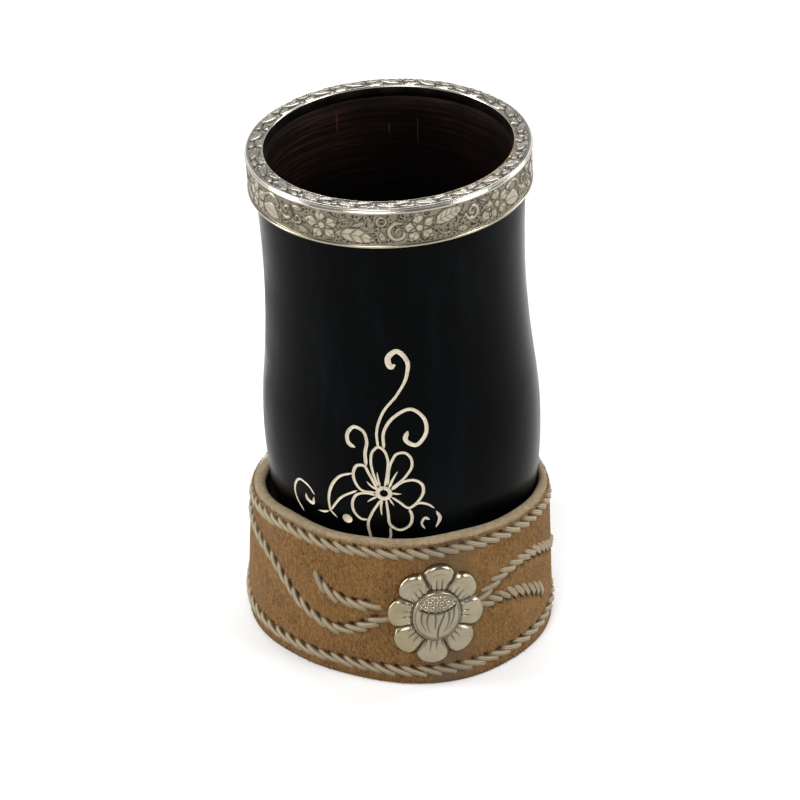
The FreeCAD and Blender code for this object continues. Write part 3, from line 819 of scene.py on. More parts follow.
def chased_band(azimuth, height, radius, middle):
    """Height and engraved lines of the whole pattern at each point of the rim's band."""
    relief = np.zeros(azimuth.shape)
    lines = np.zeros(azimuth.shape)
    for number, left in enumerate(FLOWERS):
        right = FLOWERS[number + 1] if number + 1 < len(FLOWERS) else FLOWERS[0] + 360
        turn = (azimuth - left + 30) % 360 - 30
        near = (turn > -8) & (turn < right - left + 8)
        u = np.radians(turn[near]) * radius
        v = height[near] - middle
        span = math.radians(right - left) * radius
        parts = [flower(u, v, (0.0, 0.0)), flower(u, v, (span, 0.0))]
        leaves, stems = BETWEEN[number % 3]
        scale = span / DRAWN_SPAN
        for base, tip, width, ribs, bend in leaves:
            parts.append(leaf(u, v, (base[0] * scale, base[1]), (tip[0] * scale, tip[1]), width, ribs, bend))
        for points, widths in stems:
            parts.append(stem(u, v, [(x * scale, y) for x, y in points], widths))
        height_here, line_here = highest(parts)
        relief[near] = np.maximum(relief[near], height_here)
        lines[near] = np.maximum(lines[near], line_here)
    return relief, lines


def chased_flange(azimuth, radius, inner, outer):
    """Height and engraved lines of the leaves round the top flange."""
    middle = (inner + outer) / 2
    repeats = 22
    unit = 2 * math.pi * middle / repeats
    beat = (azimuth / 360.0 * repeats) % 1.0 * unit
    v = radius - middle
    parts = []
    for u in (beat + unit, beat, beat - unit):
        parts.append(leaf(u, v, (0.2, -0.9), (unit * 0.6, 1.0), 2.6, 0, 0.3))
        parts.append(leaf(u, v, (unit * 0.95, -1.2), (unit * 0.5, -0.2), 2.1, 0, 0.2))
        parts.append(leaf(u, v, (unit, 1.2), (unit * 0.62, 0.6), 1.6, 0, 0.15))
        parts.append(stem(u, v, [(0.2, 0.6), (1.4, 1.3), (3.0, 1.4)], (0.6, 0.8, 0.4)))
    return highest(parts)


def rim_finish(rim):
    """Nickel silver with a stippled dark ground, dark lines and a painted highlight: the top takes a brighter
    metal than the band.
    """
    finish = Finish("chased_nickel_silver")
    ground, line, tarnish = (finish.attribute(name) for name in ("ground", "line", "tarnish"))
    stipple = finish.ramp(finish.cells(1500), 0.28, 0.5, 1.0, 0.0)
    dark = finish.times(ground, finish.plus(finish.times(stipple, 0.47), 0.5))
    dark = finish.maths("MAXIMUM", dark, finish.times(line, 0.97), clamp=True)
    cloud = finish.noise(170, 4, 0.6)
    tone = finish.blend(finish.ramp(cloud, 0.35, 0.75), rim.metal, tinted(rim.metal, 0.82, 0.8, 0.76))
    # Painted highlight: the top takes the brighter metal, for the light it catches
    tone = finish.blend(finish.attribute("top_highlight"), tone, rim.bright)
    tone = finish.blend(tarnish, tone, (0.42, 0.25, 0.08))
    tone = finish.blend(dark, tone, rim.patina)
    rough = finish.plus(finish.ramp(cloud, 0.3, 0.7, 0.14, 0.26), finish.times(dark, 0.3))
    pits = finish.times(finish.times(ground, stipple), -1.0)
    fine = finish.times(finish.noise(1200, 3, 0.6), 0.25)
    return finish.set(
        Base_Color=tone,
        Metallic=1.0,
        Roughness=rough,
        Normal=finish.bump(finish.plus(pits, fine), 0.00012, 0.8),
    )


def collar_finish():
    """The collar inside the mouth, painted near black as shade, with brown patches at random."""
    finish = Finish("shaded_collar")
    cloud = finish.noise(220, 3, 0.5)
    # Painted shade: near black, for the shade that fills the collar inside the mouth
    tone = finish.blend(finish.ramp(cloud, 0.4, 0.8), (0.012, 0.011, 0.01), (0.05, 0.038, 0.02))
    return finish.set(Base_Color=tone, Metallic=0.6, Roughness=0.34)


class MATECUP_OT_rim(bpy.types.Operator):
    """Turn the mouth rim from sheet, chase its band and its flange and finish it"""

    bl_idname = "matecup.rim"
    bl_label = "Mouth rim"

    def execute(self, context):
        rim = context.scene.mate_rim
        horn = context.scene.mate_horn
        top, foot, outer, mouth = mm(rim.top), mm(rim.foot), mm(rim.radius), mm(rim.mouth)
        sheet, collar = mm(rim.sheet), mm(rim.collar_foot)
        ground = outer - BAND_SINK
        low, high = foot + 1.0, top - 1.45
        bead, step = 0.4, 0.205
        outline = [(ground - sheet, foot + 0.05)]
        outline += arc_points(outer - bead, foot + bead, bead, -95, 100, 9)
        outline += [(ground, low - 0.15)]
        outline += [(ground, z) for z in np.arange(low, high, step)]
        outline += [(ground, high + 0.05)]
        outline += arc_points(outer - bead, high + bead + 0.05, bead, -80, 70, 7)
        outline += arc_points(outer - 0.75, top - 0.5, 0.5, 30, 90, 5)
        flange_out, flange_in = outer - 0.85, mouth + 0.5
        deck = top - FLANGE_SINK
        outline += [(flange_out, deck)]
        outline += [(r, deck) for r in np.arange(flange_out - 0.2, flange_in, -0.2)]
        outline += arc_points(mouth + 0.42, top - 0.42, 0.42, 90, 180, 5)
        outline += [(mouth, collar), (mouth + sheet, collar), (mouth + sheet, top - sheet - FLANGE_SINK)]
        outline += [(ground - sheet, top - sheet - FLANGE_SINK)]
        piece = lathe("mouth_rim_chased", outline + outline[:1], 1080)

        points = read_points(piece)
        radius, azimuth = polar(points)
        height = points[:, 2]
        line = np.zeros(len(points))
        hollow = np.zeros(len(points))
        amount = mm(rim.relief)

        band = (np.abs(radius - ground) < 0.01) & (height > low - 0.01) & (height < high + 0.02)
        middle = (low + high) / 2
        relief, lines = chased_band(azimuth[band], height[band], ground, middle)
        border = np.minimum(smooth(low - 0.2, low + 0.3, height[band]),
                            smooth(high + 0.2, high - 0.3, height[band]))
        raise_by = (relief - lines * 0.35) * amount * border
        away = points[band, :2] / radius[band][:, None]
        points[band, :2] += away * raise_by[:, None]
        line[band] = lines * np.where(relief > 0.2, 1.0, 0.85)
        hollow[band] = relief < 0.2

        flange = (np.abs(height - deck) < 0.01) & (radius > flange_in - 0.25) & (radius < flange_out + 0.05)
        relief, lines = chased_flange(azimuth[flange], radius[flange], flange_in, flange_out)
        border = np.minimum(smooth(flange_in - 0.2, flange_in + 0.2, radius[flange]),
                            smooth(flange_out + 0.1, flange_out - 0.3, radius[flange]))
        points[flange, 2] += (relief * 1.5 - lines * 0.6) * amount * border - 0.2 * border
        line[flange] = lines * 0.95
        hollow[flange] = (relief < 0.2) * 0.4
        write_points(piece, points)

        inner_edge = bell(radius - mouth - 0.2, 0.5) * (height > top - 1.2)
        away = np.abs(turned(azimuth, 52))
        paint(piece, "line", line)
        paint(piece, "ground", hollow)
        # Painted highlight along the rim's top, where it takes the brighter metal
        paint(piece, "top_highlight", smooth(top - 1.3, top - 0.6, height))
        paint(piece, "tarnish", np.clip(inner_edge * bell(away, 34) * 0.9, 0, 1))

        around, level = face_centres(piece)
        inside = (around < mouth + sheet + 0.01) & (level < top - 0.6)
        give_materials(piece, [rim_finish(rim), collar_finish()], inside.astype(int))
        piece.data.transform(horn_matrix(horn))
        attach(piece, "root")
        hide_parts("mouth_rim")
        return {"FINISHED"}


# Hide band

# Radius of the band's rounded edges and height of its foot off the floor, both in millimetres, and how far
# the stain spreads from the seam, in degrees
ROUND_EDGE = 1.45
HIDE_FOOT = 0.15
SEAM_SPREAD = 9.0

# Routes of the decorative laces: azimuths in degrees, heights in millimetres
LONG_VINE = [
    (-97, 28.5), (-85.4, 27.7), (-72.4, 26.8), (-63.3, 24.4), (-56.3, 20.8), (-50.3, 17.6),
    (-43.3, 15.1), (-35.3, 13.8), (-27.2, 15.5), (-20.5, 18.5), (-17, 20.0),
]
SHORT_VINE = [(-43.9, 27.3), (-39.3, 24.6), (-33.3, 22.9), (-27.2, 22.4), (-20, 23.3)]
UPPER_BRANCH = [
    (15.8, 22.0), (19.2, 24.3), (24.3, 26.4), (29.9, 27.6), (37.4, 27.7), (46.6, 26.0), (58.2, 21.8),
    (70.7, 18.0),
]
LOWER_BRANCH = [(16.5, 20.2), (21.2, 20.9), (25.7, 20.9), (31.9, 19.7), (39.5, 17.3), (47.9, 13.2)]
BRANCHES = ("upper_branch_lace", "lower_branch_lace")
# Each vine lace's route, the slant of its stitches in degrees, and shares of the usual length and spacing
VINES = {
    "long_vine_lace": (LONG_VINE, -18.0, 0.95, 0.95),
    "short_vine_lace": (SHORT_VINE, -20.0, 1.0, 0.92),
    "upper_branch_lace": (UPPER_BRANCH, -24.0, 0.88, 0.8),
    "lower_branch_lace": (LOWER_BRANCH, -34.0, 0.78, 0.68),
}
ROW_SLANT = -20.0


def row_stitches(height, lace, hide):
    """Middle, turn in degrees and length of each stitch along a row round the band."""
    radius = plain_radius(height, hide)
    count = round(2 * math.pi * radius / mm(lace.pitch))
    share = smooth(8.0, 30.0, height)
    stitches = []
    for k in range(count):
        azimuth = 360.0 * (k + 0.5) / count - 180.0
        ahead, behind = (float(hide_height(azimuth + side, hide)) for side in (3, -3))
        slope = math.degrees(math.atan2((ahead - behind) * share, math.radians(6) * radius))
        up = height + (float(hide_height(azimuth, hide)) - mm(hide.height)) * share
        stitches.append((azimuth, up, slope + ROW_SLANT, mm(lace.stitch)))
    return stitches


def vine_stitches(route, slant, stretch, spacing, lace, hide):
    """The same for the stitches along a route, with their slant off it."""
    radius = lace_radius(hide)
    step = 0.2
    line = polyline([(math.radians(azimuth) * radius, height) for azimuth, height in route], step)
    reach = (len(line) - 1) * step
    count = max(int(reach / (mm(lace.pitch) * spacing)), 2)
    stitches = []
    for k in range(count):
        at = min(int((k + 0.5) / count * (len(line) - 1)), len(line) - 2)
        way = line[min(at + 3, len(line) - 1)] - line[max(at - 3, 0)]
        turn = math.degrees(math.atan2(way[1], way[0])) + slant
        azimuth = math.degrees(line[at][0] / radius)
        stitches.append((azimuth, float(line[at][1]), turn, mm(lace.stitch) * stretch))
    return stitches


def laces(lace, hide):
    """Every lace as its node's name and its stitches."""
    rows = {"top_edge_lace": lace.top_row, "bottom_edge_lace": lace.foot_row}
    found = {name: row_stitches(mm(height), lace, hide) for name, height in rows.items()}
    found.update((name, vine_stitches(*vine, lace, hide)) for name, vine in VINES.items())
    return found


def hair_colour(finish, hide):
    """Short brown hair: fibres that run down the band, in tufts of different tone."""
    coat = hide.coat
    fibre = finish.noise(2100, 3, 0.7, finish.stretch((1, 1, 0.42)), 1.2)
    curl = finish.noise(900, 3, 0.65, finish.stretch((1, 1, 0.6)), 1.6)
    tuft = finish.noise(260, 3, 0.6)
    cloud = finish.noise(42, 3, 0.5)
    light = tinted(coat, 1.65, 1.7, 1.8)
    dark = tinted(coat, 0.47, 0.44, 0.4)
    tone = finish.blend(finish.ramp(fibre, 0.36, 0.66), dark, light)
    tone = finish.blend(finish.ramp(curl, 0.4, 0.7, 0.0, 0.4), tone, coat)
    tone = finish.blend(finish.ramp(tuft, 0.5, 0.75, 0.0, 0.4), tone, dark)
    tone = finish.blend(finish.ramp(cloud, 0.4, 0.7, 0.0, 0.3), tone, light)
    return tone, fibre, curl


def hide_finish(hide):
    """The haired face, with the pale cut edge, the stain at the seam, and painted shade in the lace holes,
    along the seam's groove and along the foot, which is also burnished darker.
    """
    finish = Finish("camel_hair_hide")
    tone, fibre, curl = hair_colour(finish, hide)
    cut, stain, shade = (finish.attribute(name) for name in ("cut", "stain", "shade"))
    grain = finish.noise(700, 3, 0.6)
    edge = finish.blend(finish.ramp(grain, 0.35, 0.75), tinted(hide.cut, 0.82), tinted(hide.cut, 1.12))
    tone = finish.blend(finish.times(stain, finish.ramp(curl, 0.3, 0.6, 0.55, 1.0)), tone, hide.stain)
    ragged = finish.plus(cut, finish.times(finish.maths("SUBTRACT", curl, 0.5), 1.1))
    tone = finish.blend(finish.ramp(ragged, 0.42, 0.62), tone, edge)
    tone = finish.blend(shade, tone, (0.018, 0.012, 0.008))
    height = finish.plus(finish.times(fibre, 0.6), finish.times(curl, 0.7))
    return finish.set(
        Base_Color=tone,
        Roughness=0.92,
        Specular_IOR_Level=0.06,
        Sheen_Weight=0.08,
        Sheen_Roughness=0.5,
        Normal=finish.bump(height, 0.00035, 0.9),
    )


def near_holes(azimuth, height, lace, hide):
    """How deep each point lies in a lace hole, and how close it is to a stitch."""
    hole = np.zeros(azimuth.shape)
    close = np.zeros(azimuth.shape)
    radius = lace_radius(hide)
    for name, stitches in laces(lace, hide).items():
        for at, up, turn, long in stitches:
            side = turned(azimuth, at)
            near = (np.abs(side) < 8) & (np.abs(height - up) < 5)
            if not near.any():
                continue
            u = np.radians(side[near]) * radius
            v = height[near] - up
            a = math.radians(turn)
            along = u * math.cos(a) + v * math.sin(a)
            across = -u * math.sin(a) + v * math.cos(a)
            if name in BRANCHES:
                spot = bell(along - long * 0.36, 0.75, across + 0.75, 0.55)
            else:
                spot = bell(along + long * 0.12, 1.0, across - 1.05, 0.55)
            hole[near] = np.maximum(hole[near], spot)
            bed = bell(np.maximum(np.abs(along) - long * 0.42, 0), 0.7, across, 1.0)
            close[near] = np.maximum(close[near], bed)
    return hole, close


class MATECUP_OT_hide(bpy.types.Operator):
    """Turn the hide band, push it into shape and give it its hair"""

    bl_idname = "matecup.hide"
    bl_label = "Hide band"

    def execute(self, context):
        hide = context.scene.mate_hide
        lace = context.scene.mate_lace
        top, thick = mm(hide.height), mm(hide.thickness)
        foot_radius, top_radius = mm(hide.foot_radius), mm(hide.top_radius)
        turn_in = top - ROUND_EDGE
        outline = [(foot_radius - thick, HIDE_FOOT), (foot_radius - 0.5, HIDE_FOOT)]
        outline += [(plain_radius(0.3, hide), 0.5)]
        outline += [(plain_radius(z, hide), z) for z in np.arange(1.0, turn_in, 0.5)]
        outline += arc_points(top_radius - ROUND_EDGE, turn_in, ROUND_EDGE, 0, 90, 8)
        outline += arc_points(top_radius - thick + ROUND_EDGE, turn_in, ROUND_EDGE, 95, 180, 7)
        outline += [(plain_radius(z, hide) - thick, z) for z in np.arange(turn_in - 2, 2, -3.0)]
        piece = lathe("hide_band_haired", outline + outline[:1], 900)

        points = read_points(piece)
        radius, azimuth = polar(points)
        level = points[:, 2].copy()
        depth = plain_radius(level, hide) - radius
        height = settled(level, azimuth, hide)
        face = smooth(1.6, 0.5, depth)
        hole, close = near_holes(azimuth, height, lace, hide)
        seam = seam_side(azimuth, hide)
        seam_line = bell(seam * math.pi / 180 * foot_radius, 0.22)
        puff = 0.12 * np.sin(np.radians(azimuth * 9) + height * 0.35) * np.sin(height * 0.21 + 1)
        thin = hide_depth(azimuth, hide) / thick
        new_radius = hide_radius(azimuth, height, hide) - depth * thin
        new_radius += puff * face - face * (hole * 0.75 + close * 0.22 + seam_line * 0.1)
        points[:, :2] *= (new_radius / radius)[:, None]
        wave = 0.22 * np.sin(np.radians(azimuth * 4 + 20)) + 0.12 * np.sin(np.radians(azimuth * 11))
        points[:, 2] = height + np.clip((level - top + 6) / 6, 0, 1) * (wave - 0.3)
        write_points(piece, points)

        cut = smooth(top - 1.5, top - 0.85, level) * smooth(-0.1, 0.35, depth + (level > top - 0.6) * 0.6)
        paint(piece, "cut", np.maximum(cut, depth > thick - 0.2))
        paint(piece, "stain", bell(seam, SEAM_SPREAD) * 0.85 * (1 - cut * 0.5))
        # Darker towards the foot: painted contact shadow together with a burnished foot, added to the painted
        # shade of the lace holes and the seam's groove
        foot_shade_and_burnish = smooth(2.4, 0.2, level) * 0.35
        paint(piece, "shade", np.clip(face * (hole * 1.5 + seam_line * 0.1) + foot_shade_and_burnish, 0, 0.97))
        give_materials(piece, [hide_finish(hide)])
        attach(piece, "root")
        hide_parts("hide_band")
        return {"FINISHED"}


class MATECUP_OT_hair(bpy.types.Operator):
    """Grow the short hairs of the hide as tapered blades"""

    bl_idname = "matecup.hair"
    bl_label = "Hair"

    def execute(self, context):
        hide = context.scene.mate_hide
        lace = context.scene.mate_lace
        dice = np.random.default_rng(11)
        top = mm(hide.height)
        count = 26000
        azimuth = dice.uniform(-180, 180, count)
        level = np.where(dice.random(count) < 0.16, dice.uniform(top - 1.6, top - 0.7, count),
                         dice.uniform(0.8, top - 1.2, count))
        height = settled(level, azimuth, hide)
        hole, close = near_holes(azimuth, height, lace, hide)
        covered = covered_by_concho(azimuth, height, context.scene.mate_concho, hide)
        keep = (hole < 0.25) & (close < 0.3) & ~covered
        azimuth, height, level = azimuth[keep], height[keep], level[keep]
        count = len(azimuth)
        fringe = smooth(top - 1.9, top - 0.9, level)
        long = dice.uniform(0.7, 1.5, count) * (1 - 0.25 * fringe)
        lean = np.radians(dice.normal(0, 22, count) + np.where(dice.random(count) < 0.2, 40, 0))
        drop = np.where(dice.random(count) < 0.5 * fringe, 0.7, -1.0)
        stand = dice.uniform(0.06, 0.2, count) + 0.2 * fringe
        wide = dice.uniform(0.07, 0.13, count)
        rows = []
        for step in (0.0, 0.55, 1.0):
            u = np.sin(lean + 0.5 * step) * long * step
            v = np.cos(lean) * long * step * drop
            half = wide * (1 - step) ** 0.7
            proud = -0.08 + stand * math.sin(step * 2.2) * 1.1
            place = np.maximum(height + v, HIDE_FOOT)
            turn = np.degrees(u / mm(hide.foot_radius))
            away = np.degrees(half / mm(hide.foot_radius))
            rows.append([on_hide(azimuth + turn + side, place, proud, hide) for side in (-away, away)])
        past = np.maximum(level - (top - ROUND_EDGE), 0) / ROUND_EDGE
        fall = ROUND_EDGE * (1 - np.sqrt(np.clip(1 - past**2, 0, 1)))
        points = np.stack([rows[0][0], rows[0][1], rows[1][0], rows[1][1], rows[2][0]], axis=1)
        outward = points.copy()
        outward[:, :, 2] = 0
        outward /= np.linalg.norm(outward, axis=2)[:, :, None]
        points -= outward * (fall * MM)[:, None, None]
        base = np.arange(count)[:, None] * 5
        faces = np.concatenate([base + [0, 1, 3, 2], base + [2, 3, 4, 4]], axis=1).reshape(-1, 4)
        mesh = bpy.data.meshes.new("hide_hair")
        mesh.from_pydata(points.reshape(-1, 3), [], [f[:3] if f[3] == f[2] else f for f in faces.tolist()])
        piece = bpy.data.objects.new("hide_hair", mesh)
        context.collection.objects.link(piece)
        paint(piece, "tone", np.repeat(dice.random(count), 5))
        seam = seam_side(np.repeat(azimuth, 5), hide)
        paint(piece, "stain", bell(seam, SEAM_SPREAD) * 0.8)
        paint(piece, "fringe", np.repeat(fringe, 5))
        give_materials(piece, [self.blade_finish(hide)])
        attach(piece, "root")
        return {"FINISHED"}

    def blade_finish(self, hide):
        finish = Finish("camel_hair")
        dark, light = tinted(hide.coat, 0.62, 0.58, 0.5), tinted(hide.coat, 1.8, 1.85, 1.95)
        tone = finish.blend(finish.attribute("tone"), dark, light)
        tone = finish.blend(finish.times(finish.attribute("fringe"), 0.35), tone, hide.cut)
        tone = finish.blend(finish.attribute("stain"), tone, hide.stain)
        streak = finish.ramp(finish.noise(800, 2, 0.5), 0.5, 0.8, 0.0, 0.3)
        tone = finish.blend(streak, tone, tinted(hide.coat, 0.6))
        return finish.set(Base_Color=tone, Roughness=0.7, Specular_IOR_Level=0.1, Sheen_Weight=0.05)


# Rawhide laces


def stitch_shape(lace):
    """One stitch, straight along X: a flat thong that starts thin and ends round, with grooves along it."""
    rings, around = 9, 12
    bpy.ops.object.select_all(action="DESELECT")
    bpy.ops.mesh.primitive_circle_add(
        vertices=around, radius=MM, fill_type="NGON", rotation=(0, math.pi / 2, 0)
    )
    piece = bpy.context.object
    bpy.ops.object.transform_apply(location=True, rotation=True, scale=True)
    bpy.ops.object.mode_set(mode="EDIT")
    bpy.ops.mesh.select_all(action="SELECT")
    for _ in range(rings - 1):
        bpy.ops.mesh.extrude_region_move(TRANSFORM_OT_translate={"value": (MM, 0, 0)})
    bpy.ops.object.mode_set(mode="OBJECT")
    face_outward(piece)
    points = read_points(piece)
    share = np.round(points[:, 0]) / (rings - 1)
    turn = np.arctan2(points[:, 2], points[:, 1])
    above = np.sin(turn) > -0.01
    start, end = 0.62 + 0.38 * smooth(0.0, 0.45, share), 1 - 0.45 * smooth(0.86, 1.0, share)
    half = mm(lace.width) / 2 * start * end
    body = 1 - np.abs(2 * share - 1) ** 2.6
    crown = mm(lace.height) * (0.12 + 0.88 * body) * (0.78 + 0.22 * share)
    y = np.cos(turn) * half
    ridge = 0.86 + 0.14 * np.cos(turn * 6)
    rise = np.abs(np.sin(turn))
    z = np.where(above, rise**0.55 * crown * ridge, -0.35 * mm(lace.height) * rise)
    slant = y * 0.55 * np.sign(0.5 - share) * np.abs(2 * share - 1) ** 3
    x = (share - 0.5) * mm(lace.stitch) + slant
    z -= 0.5 * np.abs(2 * share - 1) ** 4
    write_points(piece, np.stack([x, y, z], axis=1))
    return piece


def rawhide_finish(lace):
    """Pale rawhide with grooves along each stitch, with painted shade in the grooves, along its borders and
    at its ends, and a painted highlight on the strands.
    """
    finish = Finish("rawhide")
    across, tint, stain, end = (finish.attribute(name) for name in ("across", "tint", "stain", "end"))
    grain = finish.noise(900, 3, 0.6)
    pale = lace.rawhide
    dark = tinted(pale, 0.5, 0.47, 0.42)
    lines = finish.maths("COSINE", finish.times(across, 9.4))
    border = finish.ramp(finish.maths("ABSOLUTE", across), 0.72, 1.0)
    # Painted shade in the grooves between the strands, and a painted highlight on their crowns
    tone = finish.blend(finish.ramp(lines, -0.95, 0.2), dark, tinted(pale, 1.3))
    # Painted shade along the stitch's borders, where one stitch meets the next
    tone = finish.blend(finish.times(border, 0.85), tone, tinted(pale, 0.28))
    tone = finish.blend(finish.times(tint, 0.5), tone, pale)
    tone = finish.blend(finish.ramp(grain, 0.55, 0.8, 0.0, 0.4), tone, dark)
    # Painted shade at the stitch's ends, where it goes into the hide
    tone = finish.blend(finish.times(end, 0.75), tone, (0.06, 0.04, 0.022))
    tone = finish.blend(finish.times(stain, 0.6), tone, (0.2, 0.165, 0.12))
    height = finish.plus(finish.times(lines, 0.5), finish.times(grain, 0.5))
    return finish.set(
        Base_Color=tone,
        Roughness=0.55,
        Specular_IOR_Level=0.4,
        Normal=finish.bump(height, 0.00012, 0.8),
    )


class MATECUP_OT_laces(bpy.types.Operator):
    """Shape one stitch and copy it along both rows and the vine"""

    bl_idname = "matecup.laces"
    bl_label = "Rawhide laces"

    def execute(self, context):
        lace = context.scene.mate_lace
        hide = context.scene.mate_hide
        model = stitch_shape(lace)
        shape = read_points(model)
        half = np.abs(shape[:, 1]).max()
        across = shape[:, 1] / half
        end = smooth(0.41, 0.5, np.abs(shape[:, 0]) / mm(lace.stitch))
        material = rawhide_finish(lace)
        dice = np.random.default_rng(5)
        for name, stitches in laces(lace, hide).items():
            copies, tint, stain = [], [], []
            for azimuth, height, turn, long in stitches:
                copy = model.copy()
                copy.data = model.data.copy()
                context.collection.objects.link(copy)
                stretch = long / mm(lace.stitch) * dice.uniform(0.95, 1.05)
                angle = math.radians(turn + dice.normal(0, 2.0))
                x = shape[:, 0] * stretch
                y = shape[:, 1] * dice.uniform(0.92, 1.08)
                u = x * math.cos(angle) - y * math.sin(angle)
                v = x * math.sin(angle) + y * math.cos(angle)
                v = v + height + dice.normal(0, 0.08)
                where = azimuth + np.degrees(u / lace_radius(hide))
                proud = shape[:, 2] * dice.uniform(0.92, 1.08) - 0.05
                copy.data.vertices.foreach_set("co", on_hide(where, v, proud, hide).ravel())
                copies.append(copy)
                tint.append(dice.random())
                stain.append(self.stain(name, azimuth, hide))
            select_only(copies[0])
            for copy in copies:
                copy.select_set(True)
            bpy.ops.object.join()
            piece = context.object
            piece.name = piece.data.name = name + "_rawhide"
            face_outward(piece)
            bpy.ops.object.shade_smooth()
            each = len(shape)
            paint(piece, "across", np.tile(across, len(copies)))
            paint(piece, "end", np.tile(end, len(copies)))
            paint(piece, "tint", np.repeat(tint, each))
            paint(piece, "stain", np.repeat(stain, each))
            give_materials(piece, [material])
            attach(piece, "root")
            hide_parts(name)
        bpy.data.objects.remove(model)
        return {"FINISHED"}

    def stain(self, name, azimuth, hide):
        """How dark a stitch is stained, which is most near the seam and at the vines' ends."""
        if name == "short_vine_lace" and (azimuth < -41 or azimuth > -22):
            return 0.8
        if name in BRANCHES and azimuth < 27:
            return 0.55
        return bell(seam_side(azimuth, hide), 7.0)


# Flower concho


def concho_petals(concho):
    """Centres of the eight petals' round ends, and their radius."""
    radius = mm(concho.petal)
    across, up = mm(concho.width) / 2 - radius, mm(concho.length_up) / 2 - radius
    return [(across * math.sin(a), up * math.cos(a)) for a in np.radians(np.arange(8) * 45.0)], radius


def concho_reach(angle, concho):
    """How far the flower reaches from its middle in each direction."""
    centres, radius = concho_petals(concho)
    way = np.stack([np.sin(angle), np.cos(angle)], axis=-1)
    a, b = mm(concho.bud_width) / 2 + 1.2, mm(concho.bud_length) / 2 + 1.2
    reach = 1 / np.sqrt((way[..., 0] / a) ** 2 + (way[..., 1] / b) ** 2)
    for x, y in centres:
        along = way[..., 0] * x + way[..., 1] * y
        off = x * x + y * y - along**2
        chord = radius**2 - off
        hit = along + np.sqrt(np.maximum(chord, 0))
        reach = np.where((chord > 0) & (along > 0), np.maximum(reach, hit), reach)
    return reach


def covered_by_concho(azimuth, height, concho, hide):
    """Which points of the hide lie behind the flower."""
    x = np.radians(turned(azimuth)) * mm(hide.foot_radius)
    y = height - mm(concho.height)
    c, s = math.cos(concho.tilt), math.sin(concho.tilt)
    across, up = x * c - y * s, x * s + y * c
    return np.hypot(across, up) < concho_reach(np.arctan2(across, up), concho) - 0.3


# Lines below the bud's eye: where each starts, how it bends and how far down it runs, as shares of the bud
BUD_LINES = [
    (-0.62, -0.12, -0.55), (-0.38, -0.10, -0.60), (-0.12, 0.02, -0.45),
    (0.42, 0.10, -0.62), (0.62, 0.12, -0.5),
]


def petal_relief(x, y, concho):
    """Height over the sheet, dark engraved lines and tarnish at each point of the petals."""
    centres, radius = concho_petals(concho)
    gaps = np.stack([np.hypot(x - cx, y - cy) for cx, cy in centres])
    order = np.sort(gaps, axis=0)
    nearest = np.argmin(gaps, axis=0)
    centre = np.array(centres)[nearest]
    outward = centre / np.linalg.norm(centre, axis=-1)[..., None]
    px, py = x - centre[..., 0], y - centre[..., 1]
    out = px * outward[..., 0] + py * outward[..., 1]
    side = -px * outward[..., 1] + py * outward[..., 0]

    edge = radius - order[0]
    valley = bell(order[1] - order[0], 1.15) * smooth(-3.6, -1.2, out + 0.6)
    rolled = smooth(1.6, 0.9, np.abs(edge - 0.95)) * (edge > -0.5)
    top_side = smooth(-0.25, 0.55, outward[..., 1])
    relief = 0.35 + 0.55 * smooth(-0.2, 1.1, edge) * (0.6 + 0.4 * top_side)
    dish = bell(np.hypot(out + 0.9, side), 2.9)
    relief = relief - 0.38 * dish - 0.75 * valley
    relief += 0.22 * rolled * top_side * (out > 0)

    lines = valley**3 * 0.95
    root = -4.4
    for at, stop in ((-1.75, -0.4), (-0.6, 0.9), (0.55, 0.7), (1.7, -0.6)):
        share = np.clip((out - root) / (stop - root), 0, 1)
        fan = at * (1 + 0.10 * (out + 3))
        width = 0.30 * (1 - share) ** 0.7 + 0.05
        cut = bell(side - fan, width) * (out < stop) * (out > root - 1)
        relief -= 0.22 * cut
        lines = np.maximum(lines, cut * (0.9 - 0.35 * share))
    tarnish = smooth(0.1, -0.9, outward[..., 0]) * smooth(-1.5, 2.5, out) * smooth(0.9, 0.2, outward[..., 1])
    return relief, lines, tarnish


